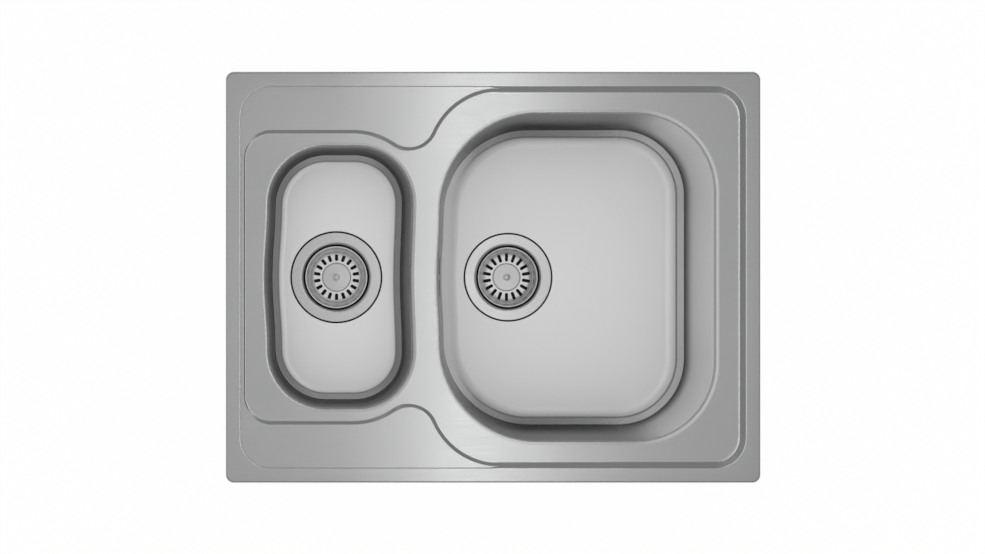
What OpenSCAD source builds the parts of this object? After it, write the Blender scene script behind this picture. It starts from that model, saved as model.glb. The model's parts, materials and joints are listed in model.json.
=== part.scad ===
// Inset kitchen sink with one and a half bowls. Lengths are in millimetres.
// The origin is the centre of the worktop cut-out, level with the worktop's top face.
// +X is to the right, +Y is to the back, and +Z is up.

/* [Deck] */
// Length of the deck, left to right
sink_length = 650; // [640:1:680]
// Width of the deck, front to back
sink_width = 500; // [494:1:520]
// Corner radius of the outer edge
edge_corner = 10; // [6:1:16]
// Radius of the turned-down outer edge
edge_roll = 1.5; // [1.2:0.1:2]
// Thickness of the steel sheet
sheet = 0.9; // [0.6:0.1:1.1]
// Height of the rim's top above the worktop
rim_height = 4.5; // [4.2:0.1:6]
// Gap between the turned-down edge and the worktop
edge_gap = 0.3; // [0.2:0.1:0.6]
// Width of the flat rim
rim_width = 17.5; // [17:0.5:20]
// Corner radius of the rim's inner edge
rim_corner = 38; // [32:1:44]
// Width of the step from the rim down to the ledges
rim_step_width = 1.8; // [1.4:0.1:2.4]
// Drop of the step from the rim down to the ledges
rim_step_drop = 1.0; // [0.6:0.1:1.4]
// Width of the step from the ledges down to the wet area
ledge_step_width = 4.2; // [3.4:0.1:5]
// Drop of the step from the ledges down to the wet area
ledge_step_drop = 2.5; // [1.8:0.1:2.8]
// Width left between the two steps where no ledge lies between them
step_gap = 0.6; // [0.5:0.1:1]

/* [Ledge curve] */
// Distance of the ledges' straight step from the sink's centre line
ledge_y = 177; // [175:1:180]
// Radius of the two swells of the curve
swell_radius = 87; // [80:1:92]
// Radius of the dip between the two swells
dip_radius = 33; // [30:1:38]
// Distance of the left swell's top from the half bowl's left rim
left_swell_place = 102; // [96:1:106]
// Distance of the right swell's top from the main bowl's left rim
right_swell_place = 73.5; // [69:0.5:78]

/* [Main bowl] */
// Distance from the deck's right end to the main bowl's rim
main_margin = 53.5; // [50:0.5:60]
// Distance between the two bowls' rims
bowl_gap = 36.5; // [35:0.5:42]
// Distance from the sink's back and front edges to the main bowl's rim
main_side_margin = 51; // [48:0.5:60]
// Depth of the main bowl below the wet area
main_depth = 160; // [150:1:200]
// Corner radius of the main bowl's rim on the left
main_left_corner = 120; // [110:1:130]
// Corner radius of the main bowl's rim on the right
main_right_corner = 95; // [85:1:105]
// Bow of the main bowl's left side, outwards
main_left_bow = 3; // [1:0.5:4]
// Bow of the main bowl's right side, outwards
main_right_bow = 0; // [0:0.5:2]
// Draft of the main bowl's left and right walls
main_draft_x = 12; // [8:0.5:14]
// Draft of the main bowl's front and back walls
main_draft_y = 7; // [5:0.5:10]
// Radius of the rolled edge round the main bowl
main_roll = 5; // [4:0.5:6]
// Radius between the main bowl's walls and floor
main_foot = 22; // [18:1:26]
// Distance of the main waste from the bowl's left rim
main_waste_place = 97.5; // [94:0.5:102]

/* [Half bowl] */
// Distance from the deck's left end to the half bowl's rim
half_margin = 53; // [50:0.5:60]
// Length of the half bowl's rim, left to right, without its bows
half_length = 170; // [164:1:172]
// Width of the half bowl's rim, front to back
half_width = 320; // [310:1:324]
// Depth of the half bowl below the wet area
half_depth = 80; // [75:1:110]
// Corner radius of the half bowl's rim on the left
half_left_corner = 69; // [62:1:74]
// Corner radius of the half bowl's rim on the right
half_right_corner = 67; // [62:1:74]
// Bow of the half bowl's left side, outwards
half_left_bow = 4; // [2:0.5:5]
// Bow of the half bowl's right side, outwards
half_right_bow = -2.5; // [-4:0.5:0]
// Draft of the half bowl's walls
half_draft = 6; // [4:0.5:8]
// Radius of the rolled edge round the half bowl
half_roll = 6.5; // [5:0.5:7]
// Radius between the half bowl's walls and floor
half_foot = 18; // [14:1:20]
// Distance of the half bowl's waste from the bowl's left rim
half_waste_place = 80.5; // [78:0.5:84]

/* [Wastes] */
// Radius of the waste's flange
flange_radius = 56.5; // [55:0.5:58]
// Thickness of the waste's flange
flange_thick = 1.0; // [0.8:0.1:1.2]
// Thickness of the seal under the flange
flange_seal_thick = 0.8; // [0.6:0.1:1.2]
// Radius where the flat flange turns down into the cup
mouth_radius = 44.5; // [44:0.1:44.8]
// Inner radius of the cup
cup_radius = 41; // [40.6:0.1:41.4]
// Depth of the cup's bottom below the flange
cup_depth = 42; // [41:0.5:46]
// Thickness of the cup's sheet
cup_sheet = 0.9; // [0.7:0.1:1]
// Radius of the hole in the bowl's floor
waste_hole_radius = 45; // [45:0.1:46]
// Running clearance between the flange and the pocket that it lies in
pocket_clearance = 0.4; // [0.2:0.1:0.8]
// Thickness of the gasket between the bowl and the waste's body
gasket_thick = 3; // [2:0.5:4]
// Wall of the waste's plastic body
body_wall = 2.6; // [2:0.1:3.2]
// Outer radius of the outlet, a pipe thread of one and a half inches
outlet_radius = 23.9; // [23.4:0.1:24.4]
// Length of the outlet below the body's funnel
outlet_length = 34; // [30:1:45]
// Outer radius of the overflow inlet and of the overflow housing's spigot
spigot_radius = 10.5; // [10:0.1:11]
// Wall of the inlet and of the spigot
spigot_wall = 2; // [1.6:0.1:2.6]
// Depth of the overflow inlet below the flange
inlet_depth = 24; // [22:0.5:27]
// Radius of the centre screw's shank
screw_radius = 3; // [2.5:0.1:3.4]
// Running clearance round shanks, on the radius
shank_clearance = 0.05; // [0.02:0.01:0.08]

/* [Strainer baskets] */
// Radius of the basket's lip
basket_radius = 39.7; // [39:0.1:40]
// Depth of the basket's lip below the flange
lip_depth = 3.2; // [2.8:0.1:3.6]
// Depth of the basket's bottom below the flange
basket_depth = 24.5; // [24:0.1:25]
// Thickness of the basket's sheet
basket_sheet = 0.7; // [0.5:0.1:0.8]
// Number of slots round the basket
slot_count = 18; // [12:1:22]
// Width of a slot
slot_width = 2.7; // [2:0.1:3.2]
// Radius where the slots begin
slot_inner_radius = 21; // [20:0.5:22]
// Radius of the raised disc in the basket
disc_radius = 18.6; // [17:0.1:19]
// Radius of the boss on the disc
boss_radius = 5.3; // [5:0.1:6]
// How far the basket drops from rest to close the waste
close_travel = 4.5; // [4:0.1:5]
// Thickness of the rubber plug
plug_thick = 2.9; // [2.4:0.1:3]

/* [Overflow] */
// Depth of the overflow's centre below the worktop
overflow_depth = 50; // [46:1:60]
// Radius of the pressed pocket round the overflow
overflow_pocket_radius = 24; // [22:0.5:25]
// Depth of the pressed pocket
overflow_pocket_depth = 1.6; // [1.4:0.1:2]
// Radius of the rosette
rosette_radius = 20; // [19.5:0.5:21]
// Radius of the hole behind the rosette
overflow_hole_radius = 17; // [16:0.5:18]
// Depth of the housing behind the wall
housing_depth = 23; // [22:1:24]
// Distance of the hose's axis behind the wall
hose_offset = 18; // [17.5:0.5:18.5]
// Radius of the hose's bore, to the edges between its sides
hose_bore = 10.75; // [10.75:0.05:11.2]
// Wall of the hose at its smooth ends
hose_wall = 1.9; // [1.6:0.1:2.2]
// Height of the hose's ribs above its wall
rib_height = 0.8; // [0.5:0.1:1.2]
// Number of ribs
rib_count = 25; // [16:1:30]

/* [Rails and clamps] */
// Thickness of the rails
rail_thick = 1.2; // [1:0.1:1.6]
// Distance of the rails' web from the deck's outer edge
rail_inset = 11.5; // [10.5:0.5:12]
// Width of a rail's lower lip
rail_width = 16; // [16:0.5:18]
// Depth of the rails' lower lip below the worktop's top face
rail_depth = 14; // [12:0.5:18]
// Length of the front and back rails
long_rail = 400; // [360:5:440]
// Length of the left and right rails
short_rail = 300; // [260:5:330]
// Distance of the clamps on the long rails from the middle
long_clamp_y = 150; // [130:5:165]
// Distance of the clamps on the short rails from the middle
short_clamp_y = 100; // [80:5:115]
// Thickness of the worktop that the clamps are set for
worktop = 38; // [28:1:40]
// Radius of the clamps' bolts
bolt_radius = 3; // [2.5:0.1:3.4]
// Length of the clamps' bolts below the rail
bolt_length = 50; // [48:1:60]
// Width of a claw
claw_width = 12; // [10:0.5:14]
// Thickness of a claw's strip
claw_thick = 2.5; // [2:0.1:3]
// Reach of a claw's teeth outwards from its bolt
claw_reach = 18.5; // [17:0.5:19]
// Rise of a claw from its hub to its teeth
claw_rise = 8.5; // [7.5:0.5:10]
// Width of the seal under the rim
seal_width = 8; // [6:0.5:8.5]

/* [Sound-deadening pads] */
// Thickness of the pads
pad_thick = 2.5; // [1.5:0.5:4]
// Distance from the main waste's pocket to the pad
main_pad_gap = 8; // [5:1:15]
// Distance from the pad to the right edge of the floor's flat part
main_pad_margin = 30; // [20:1:50]
// Width of the main bowl's pad, front to back
main_pad_width = 200; // [150:1:240]
// Length of the half bowl's two pads, left to right
half_pad_length = 90; // [70:1:96]
// Width of the half bowl's two pads, front to back
half_pad_width = 50; // [40:1:56]

/* [Hidden] */
CLAMPS = [1, 2, 3, 4, 5, 6, 7, 8];
$fn = 48;

// The half bowl stands at the left end, and the main bowl takes the length that is left
half_left = half_margin - sink_length / 2;
half_x = half_left + half_length / 2;
main_left = half_left + half_length + bowl_gap;
main_right = sink_length / 2 - main_margin;
main_length = main_right - main_left;
main_x = (main_left + main_right) / 2;
main_width = sink_width - 2 * main_side_margin;
main_waste_x = main_left + main_waste_place;
half_waste_x = half_left + half_waste_place;

// Levels of the deck
ledge_z = rim_height - rim_step_drop;
wet_z = ledge_z - ledge_step_drop;
rim_under = rim_height - sheet;
main_floor = wet_z - main_depth;
half_floor = wet_z - half_depth;

// The ledge step's middle line, inwards from the outer edge, and its corner
line_inset = rim_width + rim_step_width + step_gap + ledge_step_width / 2;
line_corner = rim_corner - (line_inset - rim_width);
line_x = sink_length / 2 - line_inset;
line_y = sink_width / 2 - line_inset;

// Centres of the ledge curve's swells and of its dip, which each swell meets in a tangent
left_swell = [half_left + left_swell_place, ledge_y - swell_radius];
right_swell = [main_left + right_swell_place, line_y - swell_radius];
swell_span = norm(right_swell - left_swell);
dip_reach = swell_radius + dip_radius;
dip = (left_swell + right_swell) / 2
    + [left_swell.y - right_swell.y, right_swell.x - left_swell.x] / swell_span
    * sqrt(dip_reach * dip_reach - swell_span * swell_span / 4);

// Segments of the deck's curves
edge_n = 6;
corner_n = 8;
swell_n = 8;
dip_n = 5;
left_dip_n = 4;
left_swell_n = 5;
roll_n = 4;
foot_n = 6;
bowl_corner_n = 10;
bowl_side_n = 6;

// The web of deck between the bowls, where its surface is divided into a left and a right field
web_x = main_left - (bowl_gap + main_roll - half_roll) / 2;
web_y = 120;

// Heights inside a waste, below its flange
pocket_depth = flange_thick + flange_seal_thick;
pocket_radius = flange_radius + pocket_clearance;
gasket_z = -pocket_depth - sheet - gasket_thick;
body_rim = 4;
body_rim_radius = 55.5;
seat_z = 7 - cup_depth;
seat_radius = 33;
sump_radius = 30.5;
hub_z = 5 - cup_depth;
hub_radius = 8;
head_radius = 5.5;
disc_z = -basket_depth;
stem_z = disc_z - basket_sheet;
washer_thick = 1.6;
plug_z = stem_z - washer_thick;
plug_radius = 35;
rivet_radius = 4.3;
socket_wall = 2.1;
head_play = 0.3;
head_top = stem_z - washer_thick - close_travel;
funnel_z = -cup_depth - 16;
inlet_reach = 63.5;

// The overflow stands square to the main bowl's left wall
wall_top = wet_z - main_roll;
wall_foot = main_floor + main_foot;
wall_tilt = atan(main_draft_x / (wall_top - wall_foot));
overflow_x = main_left - main_left_bow
    + main_draft_x * (wall_top + overflow_depth) / (wall_top - wall_foot);
rosette_thick = 1.2;
overflow_gasket_thick = 2.5;
housing_x = -overflow_pocket_depth - sheet - overflow_gasket_thick;
housing_radius = 22.5;
housing_wall = 2.2;
spigot_end = 42;
cuff = 15;

// The hose's route: down beside the wall, round one bend that ends where the main waste's inlet
// does, and level over the inlet
hose_start = [overflow_x - hose_offset * cos(wall_tilt) + (spigot_end - cuff) * sin(wall_tilt),
    -overflow_depth - hose_offset * sin(wall_tilt) - (spigot_end - cuff) * cos(wall_tilt)];
hose_level = main_floor - inlet_depth;
inlet_end_x = main_waste_x - inlet_reach;
bend_angle = 90 - wall_tilt;
hose_bend = (inlet_end_x - hose_start.x - (hose_start.y - hose_level) * tan(wall_tilt))
    / (cos(wall_tilt) - (1 - sin(wall_tilt)) * tan(wall_tilt));
hose_drop = (hose_start.y - hose_level - hose_bend * (1 - sin(wall_tilt))) / cos(wall_tilt);
bend_length = hose_bend * bend_angle * PI / 180;
bend_start = hose_start + hose_drop * [sin(wall_tilt), -cos(wall_tilt)];
hose_length = hose_drop + bend_length + cuff;
hose_sides = 16;

// Places of the rails and clamps
bolt_inset = rail_inset + rail_width / 2;
lip_top = rail_thick - rail_depth;
SIDES = [[0, sink_length / 2 - bolt_inset], [90, sink_width / 2 - bolt_inset],
    [180, sink_length / 2 - bolt_inset], [270, sink_width / 2 - bolt_inset]];
hub_top = -worktop - claw_rise + claw_thick;
bolt_head = 4;

steel = [0.75, 0.75, 0.76];
zinc = [0.66, 0.67, 0.66];
white_plastic = [0.9, 0.9, 0.88];
grey_plastic = [0.55, 0.56, 0.57];
black_rubber = [0.12, 0.12, 0.12];

// Points on an arc about c, from angle a to angle b
function arc(c, r, a, b, n) =
    [for (k = [0:n]) let (t = a + (b - a) * k / n) c + r * [cos(t), sin(t)]];

function drop_first(list) = [for (k = [1:len(list) - 1]) list[k]];

function drop_ends(list) = [for (k = [1:len(list) - 2]) list[k]];

// A half outline above the centre line with its mirror image below, as one loop
function both_halves(half) =
    concat(half, [for (k = [len(half) - 1:-1:0]) [half[k].x, -half[k].y]]);

// A rounded rectangle round the origin, at an inset from the deck's outer edge. Its long sides
// have points at the x values in stops.
function deck_outline(inset, corner, n, stops = []) =
    let (x = sink_length / 2 - inset - corner, y = sink_width / 2 - inset - corner)
    both_halves(concat(arc([x, y], corner, 0, 90, n), [for (s = stops) [s, y + corner]],
        arc([-x, y], corner, 90, 180, n)));

// The curve from the swell beside the main bowl, through the dip, to the other swell. It and the
// outline hold the middle of the ledge step, moved outwards by d.
function ledge_curve(d) =
    let (right_angle = atan2(dip.y - right_swell.y, dip.x - right_swell.x),
        left_angle = atan2(dip.y - left_swell.y, dip.x - left_swell.x))
    concat(
        arc(right_swell, swell_radius + d, 90, right_angle, swell_n),
        drop_first(arc(dip, dip_radius - d, right_angle - 180, -90, dip_n)),
        drop_ends(arc(dip, dip_radius - d, -90, left_angle - 180, left_dip_n)),
        arc(left_swell, swell_radius + d, left_angle, 90, left_swell_n));

function ledge_outline(d) = both_halves(concat(
    arc([line_x - line_corner, line_y - line_corner], line_corner + d, 0, 90, corner_n),
    ledge_curve(d),
    arc([line_corner - line_x, ledge_y - line_corner], line_corner + d, 90, 180, corner_n)));

// The step round the rim has a point beside each point of the ledge outline
function step_outline(inset) = deck_outline(rim_width + inset, rim_corner - inset, corner_n,
    [for (p = ledge_curve(0)) p.x]);

// The place in that loop of the dip's lowest point
dip_at = corner_n + 1 + swell_n + 1 + dip_n - 1;

// The bowed side of a bowl between its corners, from y = -reach to reach or back
function bowed_side(x, bow, reach) =
    [for (k = [1:bowl_side_n - 1]) let (u = 2 * k / bowl_side_n - 1)
        [x + bow * pow(cos(90 * u), 2), u * reach]];

// A bowl's outline: size is [centre, length, width], and inset is taken off along x and y
function bowl_outline(size, corners, bows, inset) =
    let (shrink = (inset.x + inset.y) / 2,
        left = size[0] - size[1] / 2 + inset.x,
        right = size[0] + size[1] / 2 - inset.x,
        top = size[2] / 2 - inset.y,
        rl = corners[0] - shrink,
        rr = corners[1] - shrink)
    concat(
        bowed_side(right, bows[1], top - rr),
        arc([right - rr, top - rr], rr, 0, 90, bowl_corner_n),
        arc([left + rl, top - rl], rl, 90, 180, bowl_corner_n),
        [for (p = bowed_side(left, -bows[0], top - rl)) [p.x, -p.y]],
        arc([left + rl, rl - top], rl, 180, 270, bowl_corner_n),
        arc([right - rr, rr - top], rr, 270, 360, bowl_corner_n));

function main_outline(draft, inset) = bowl_outline([main_x, main_length, main_width],
    [main_left_corner, main_right_corner], [main_left_bow, main_right_bow],
    [draft * main_draft_x + inset, draft * main_draft_y + inset]);

function half_outline(draft, inset) = bowl_outline([half_x, half_length, half_width],
    [half_left_corner, half_right_corner], [half_left_bow, half_right_bow],
    [draft * half_draft + inset, draft * half_draft + inset]);

function at_height(outline, z) = [for (p = outline) [p.x, p.y, z]];

// A bowl's section from its rolled edge to its floor as [draft, inset, height], on the skin's face
function bowl_section(roll, foot, floor_z, skin) = concat(
    [for (k = [0:roll_n]) let (a = 90 * k / roll_n)
        [0, (roll - skin) * sin(a) - roll, wet_z - roll + (roll - skin) * cos(a)]],
    [for (k = [0:foot_n]) let (a = 90 * k / foot_n)
        [1, foot - (foot + skin) * cos(a), floor_z + foot - (foot + skin) * sin(a)]]);

// Faces between two loops of n points: the one at point a is inside or above the one at point b
function strip(a, b, n) =
    [for (i = [0:n - 1]) let (j = (i + 1) % n) each [[a + i, a + j, b + j], [a + i, b + j, b + i]]];

function flipped(faces, shift) = [for (f = faces) [f[2] + shift, f[1] + shift, f[0] + shift]];

// Loops of different counts are stitched from the points whose bearing from a centre is least
function bearing(p, c) = (atan2(p.y - c.y, p.x - c.x) + 360) % 360;

function from_first(loop, c) =
    let (turns = [for (p = loop) bearing(p, c)], first = search(min(turns), turns)[0], n = len(loop))
    [for (k = [0:n - 1]) loop[(k + first) % n]];

function apart(p, q) = norm([p.x - q.x, p.y - q.y]);

// The stitch goes on along the loop that gives the shorter crossing
function inner_next(s, a, b) =
    let (na = len(a), nb = len(b))
    s[0] < na && (s[1] >= nb
        || apart(a[(s[0] + 1) % na], b[s[1] % nb]) <= apart(a[s[0] % na], b[(s[1] + 1) % nb]));

// Faces between an inner and an outer loop of [x, y, number] points
function stitch(inner, outer, c) =
    let (a = from_first(inner, c), b = from_first(outer, c), na = len(a), nb = len(b))
    [for (s = [0, 0]; s[0] + s[1] < na + nb; s = s + (inner_next(s, a, b) ? [1, 0] : [0, 1]))
        inner_next(s, a, b)
            ? [a[s[0]][2], a[(s[0] + 1) % na][2], b[s[1] % nb][2]]
            : [a[s[0] % na][2], b[(s[1] + 1) % nb][2], b[s[1] % nb][2]]];

function start_of(loops, k) = k == 0 ? 0 : start_of(loops, k - 1) + len(loops[k - 1]);

function numbered(loops, k) =
    [for (i = [0:len(loops[k]) - 1]) [loops[k][i].x, loops[k][i].y, start_of(loops, k) + i]];

// The loops of one face of the deck's sheet, skin below its top
function deck_loops(skin) =
    let (edge_mid = edge_roll * (1 - cos(45)),
        inner_mid = edge_roll - (edge_roll - skin) * cos(45),
        mid = skin > 0 ? inner_mid : edge_mid)
    [at_height(deck_outline(skin, edge_corner - skin, edge_n), edge_gap),
        at_height(deck_outline(skin, edge_corner - skin, edge_n), rim_height - edge_roll),
        at_height(deck_outline(mid, edge_corner - mid, edge_n), rim_height - mid),
        at_height(deck_outline(edge_roll, edge_corner - edge_roll, edge_n), rim_height - skin),
        at_height(step_outline(0), rim_height - skin),
        at_height(step_outline(rim_step_width), ledge_z - skin),
        for (k = [0:3]) at_height(ledge_outline(ledge_step_width * (1 / 2 - k / 3)),
            wet_z + ledge_step_drop * (1 + cos(60 * k)) / 2 - skin),
        at_height(half_outline(0, -half_roll), wet_z - skin),
        at_height(main_outline(0, -main_roll), wet_z - skin),
        [[web_x, -web_y, wet_z - skin], [web_x, web_y, wet_z - skin]]];

module deck() {
    top = deck_loops(0);
    under = deck_loops(sheet);
    foot = numbered(top, 9);
    web = numbered(top, 12);
    last = len(foot) - 1;
    left_field = concat([for (k = [dip_at:last - dip_at]) foot[k]], web);
    right_field = concat([for (k = [0:dip_at]) foot[k]], [web[1], web[0]],
        [for (k = [last - dip_at:last]) foot[k]]);
    surface = concat(
        [for (k = [0:2]) each strip(start_of(top, k + 1), start_of(top, k), len(top[k]))],
        stitch(numbered(top, 4), numbered(top, 3), [0, 0]),
        [for (k = [4:8]) each strip(start_of(top, k + 1), start_of(top, k), len(top[k]))],
        stitch(numbered(top, 10), left_field, [half_x, 0]),
        stitch(numbered(top, 11), right_field, [main_x, 0]));
    count = start_of(top, 13);
    holes = [for (k = [10, 11]) each strip(start_of(top, k), start_of(top, k) + count, len(top[k]))];
    color(steel)
        polyhedron(points = concat([for (loop = top) each loop], [for (loop = under) each loop]),
            faces = concat(surface, flipped(surface, count), flipped(strip(count, 0, len(top[0])), 0),
                flipped(holes, 0)));
}

// A bowl's shell from its outlines on the inner and the outer face
module bowl_shell(inside, outside, centre) {
    n = len(inside[0]);
    rings = len(inside);
    count = n * rings + 1;
    surface = concat(
        [for (k = [0:rings - 2]) each strip(n * (k + 1), n * k, n)],
        [for (i = [0:n - 1]) [n * rings, n * (rings - 1) + (i + 1) % n, n * (rings - 1) + i]]);
    polyhedron(
        points = concat([for (ring = inside) each ring], [centre],
            [for (ring = outside) each ring], [centre - [0, 0, sheet]]),
        faces = concat(surface, flipped(surface, count), strip(0, count, n)));
}

// Adds the pressed pocket and the hole for a waste to a bowl's shell
module with_waste_pocket(x, floor_z) {
    difference() {
        union() {
            children();
            translate([x, 0, floor_z - pocket_depth - sheet])
                cylinder(h = pocket_depth + sheet / 2, r = pocket_radius + sheet);
        }
        translate([x, 0, floor_z - pocket_depth])
            cylinder(h = 2 * pocket_depth, r = pocket_radius);
        translate([x, 0, floor_z - 2 * pocket_depth - sheet])
            cylinder(h = 2 * pocket_depth + sheet, r = waste_hole_radius);
    }
}

// Turns the overflow's own frame, +X out of the wall into the bowl, to its place
module at_overflow() {
    translate([overflow_x, 0, -overflow_depth]) rotate([0, -wall_tilt, 0]) children();
}

// A revolve about the overflow's axis of a profile in [distance, radius]
module turned_on_x(profile) {
    rotate([0, 90, 0]) rotate_extrude() polygon([for (p = profile) [p.y, p.x]]);
}

module main_bowl() {
    color(steel) difference() {
        union() {
            with_waste_pocket(main_waste_x, main_floor)
                bowl_shell(
                    [for (s = bowl_section(main_roll, main_foot, main_floor, 0))
                        at_height(main_outline(s[0], s[1]), s[2])],
                    [for (s = bowl_section(main_roll, main_foot, main_floor, sheet))
                        at_height(main_outline(s[0], s[1]), s[2])],
                    [main_waste_x, 0, main_floor]);
            at_overflow() translate([-overflow_pocket_depth - sheet, 0, 0])
                rotate([0, 90, 0]) cylinder(h = overflow_pocket_depth + sheet * 1.1,
                    r = overflow_pocket_radius + sheet);
        }
        at_overflow() translate([-overflow_pocket_depth, 0, 0])
            rotate([0, 90, 0]) cylinder(h = 3 * overflow_pocket_depth, r = overflow_pocket_radius);
        at_overflow() translate([-3 * overflow_pocket_depth, 0, 0])
            rotate([0, 90, 0]) cylinder(h = 4 * overflow_pocket_depth, r = overflow_hole_radius);
    }
}

module half_bowl() {
    color(steel) with_waste_pocket(half_waste_x, half_floor)
        bowl_shell(
            [for (s = bowl_section(half_roll, half_foot, half_floor, 0))
                at_height(half_outline(s[0], s[1]), s[2])],
            [for (s = bowl_section(half_roll, half_foot, half_floor, sheet))
                at_height(half_outline(s[0], s[1]), s[2])],
            [half_waste_x, 0, half_floor]);
}

module rounded_plate(length, width, r, height) {
    linear_extrude(height) union() {
        square([length - 2 * r, width], center = true);
        square([length, width - 2 * r], center = true);
        for (x = [-1, 1], y = [-1, 1])
            translate([x * (length / 2 - r), y * (width / 2 - r)]) circle(r);
    }
}

module rim_seal() {
    outer = edge_roll + 0.1;
    inner = outer + seal_width;
    color(black_rubber) difference() {
        rounded_plate(sink_length - 2 * outer, sink_width - 2 * outer, edge_corner - outer, rim_under);
        translate([0, 0, -1])
            rounded_plate(sink_length - 2 * inner, sink_width - 2 * inner, 2, rim_under + 2);
    }
}

// Turns a frame whose origin is on a rail's bolt line, +X outwards, to one side of the sink
module at_side(k, along = 0) {
    rotate([0, 0, SIDES[k][0]]) translate([SIDES[k][1], along, 0]) children();
}

// A folded rail: its top flange is welded under the rim, and its lower lip holds the clamps' bolts
module rail(length, clamp_y) {
    out = rail_width / 2;
    flange = rim_width - rail_inset - 0.2;
    turn_up = 4;
    color(zinc) difference() {
        rotate([90, 0, 0]) linear_extrude(length, center = true) polygon([
            [out, rim_under], [out - flange, rim_under], [out - flange, rim_under - rail_thick],
            [out - rail_thick, rim_under - rail_thick], [out - rail_thick, lip_top],
            [rail_thick - out, lip_top], [rail_thick - out, turn_up - rail_depth],
            [-out, turn_up - rail_depth], [-out, -rail_depth], [out, -rail_depth]]);
        for (y = [-clamp_y, clamp_y]) translate([0, y, -2 * rail_depth])
            cylinder(h = 2 * rail_depth, r = bolt_radius + shank_clearance);
    }
}

module rail_right() at_side(0) rail(short_rail, short_clamp_y);
module rail_back() at_side(1) rail(long_rail, long_clamp_y);
module rail_left() at_side(2) rail(short_rail, short_clamp_y);
module rail_front() at_side(3) rail(long_rail, long_clamp_y);

// Clamps 1 and 2 are on the right, then two each on the back, the left and the front
module at_clamp(k) {
    side = floor((k - 1) / 2);
    along = side % 2 == 0 ? short_clamp_y : long_clamp_y;
    at_side(side, (k % 2 == 1 ? -1 : 1) * along) children();
}

// A clamp's bolt hangs by its head in the rail and has a screwdriver slot in its lower end
module clamp_bolt(k) {
    slot = 1.2;
    color(zinc) at_clamp(k) difference() {
        union() {
            translate([0, 0, lip_top]) cylinder(h = bolt_head, r = bolt_radius + 2.3, $fn = 6);
            translate([0, 0, lip_top - bolt_length]) cylinder(h = bolt_length + 1, r = bolt_radius);
        }
        translate([-bolt_radius - 1, -slot / 2, lip_top - bolt_length - 1])
            cube([2 * bolt_radius + 2, slot, 3]);
    }
}

// A clamp's claw is a bent strip with a pressed-in nut, and its teeth bite the worktop from below
module clamp_claw(k) {
    low = hub_top - claw_thick;
    nut = 5;
    heel = 3.5;
    tip = 4.5;
    back = 8;
    bend = 6;
    color(zinc) at_clamp(k) difference() {
        union() {
            rotate([90, 0, 0]) linear_extrude(claw_width, center = true) polygon([
                [-back, low], [bend, low], [claw_reach - tip, -worktop - 3.5],
                [claw_reach, -worktop - 3.5], [claw_reach, -worktop], [claw_reach - tip / 3, -worktop - 1.2],
                [claw_reach - 2 * tip / 3, -worktop], [claw_reach - tip, -worktop - 3.5 + claw_thick],
                [bend - claw_thick / 4, hub_top], [claw_thick - back, hub_top],
                [claw_thick - back, hub_top + heel], [-back, hub_top + heel]]);
            translate([0, 0, low - nut]) cylinder(h = nut + claw_thick / 2, r = bolt_radius + 3, $fn = 6);
        }
        translate([0, 0, low - nut - 1])
            cylinder(h = nut + claw_thick + 2, r = bolt_radius + shank_clearance);
    }
}

// The pads are stuck under the bowls' floors
module main_pad() {
    left = main_waste_x + pocket_radius + main_pad_gap;
    right = main_right - main_draft_x - main_foot - main_pad_margin;
    color(black_rubber) translate([(left + right) / 2, 0, main_floor - sheet - pad_thick])
        rounded_plate(right - left, main_pad_width, 10, pad_thick);
}

module half_pads() {
    color(black_rubber) for (side = [-1, 1])
        translate([half_waste_x, side * (pocket_radius + half_pad_width / 2 + 6),
            half_floor - sheet - pad_thick])
            rounded_plate(half_pad_length, half_pad_width, 8, pad_thick);
}

module at_waste(half) {
    translate(half ? [half_waste_x, 0, half_floor] : [main_waste_x, 0, main_floor]) children();
}

// The steel cup: flat flange, sloped mouth, wall, sealing seat, sump and the hub that the screw holds
module flange(half) {
    wall_r = cup_radius - 0.4;
    inside = [[flange_radius - 0.5, 0], [mouth_radius, 0], [cup_radius + 0.3, -lip_depth - 0.3],
        [cup_radius, -lip_depth - 3], [wall_r, 5 + seat_z], [wall_r - 2.1, 1.5 + seat_z],
        [seat_radius, seat_z], [sump_radius + 0.5, seat_z - 1.5], [sump_radius, 1 - cup_depth],
        [sump_radius - 1, -cup_depth], [hub_radius + 3, -cup_depth], [hub_radius, hub_z],
        [screw_radius + shank_clearance, hub_z]];
    outside = [[screw_radius + shank_clearance, hub_z - cup_sheet], [hub_radius - 0.5, hub_z - cup_sheet],
        [hub_radius + 2.5, -cup_depth - cup_sheet], [sump_radius - 0.5, -cup_depth - cup_sheet],
        [sump_radius + cup_sheet, 0.7 - cup_depth], [sump_radius + 0.5 + cup_sheet, seat_z - 2],
        [seat_radius, seat_z - cup_sheet - 0.2], [wall_r - 1.7, 0.8 + seat_z],
        [wall_r + cup_sheet, 4.6 + seat_z], [cup_radius + cup_sheet, -lip_depth - 3.2],
        [cup_radius + 0.2 + cup_sheet, -lip_depth - 0.9],
        [mouth_radius - 0.4, -flange_thick], [flange_radius, -flange_thick], [flange_radius, -0.5]];
    spoke = 8;
    color(steel) at_waste(half) difference() {
        rotate_extrude() polygon(concat(inside, outside));
        difference() {
            translate([0, 0, -cup_depth - 2 * cup_sheet])
                cylinder(h = 3 * cup_sheet, r = sump_radius - 3);
            translate([0, 0, -cup_depth - 5]) cylinder(h = 10, r = hub_radius + 5);
            for (turn = [0, 90]) rotate([0, 0, turn + 45])
                translate([-sump_radius, -spoke / 2, -cup_depth - 5]) cube([2 * sump_radius, spoke, 10]);
        }
    }
}

module flange_seal(half) {
    color(black_rubber) at_waste(half) translate([0, 0, -pocket_depth]) difference() {
        cylinder(h = flange_seal_thick, r = flange_radius - 1);
        translate([0, 0, -1]) cylinder(h = flange_seal_thick + 2, r = waste_hole_radius + 0.6);
    }
}

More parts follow.
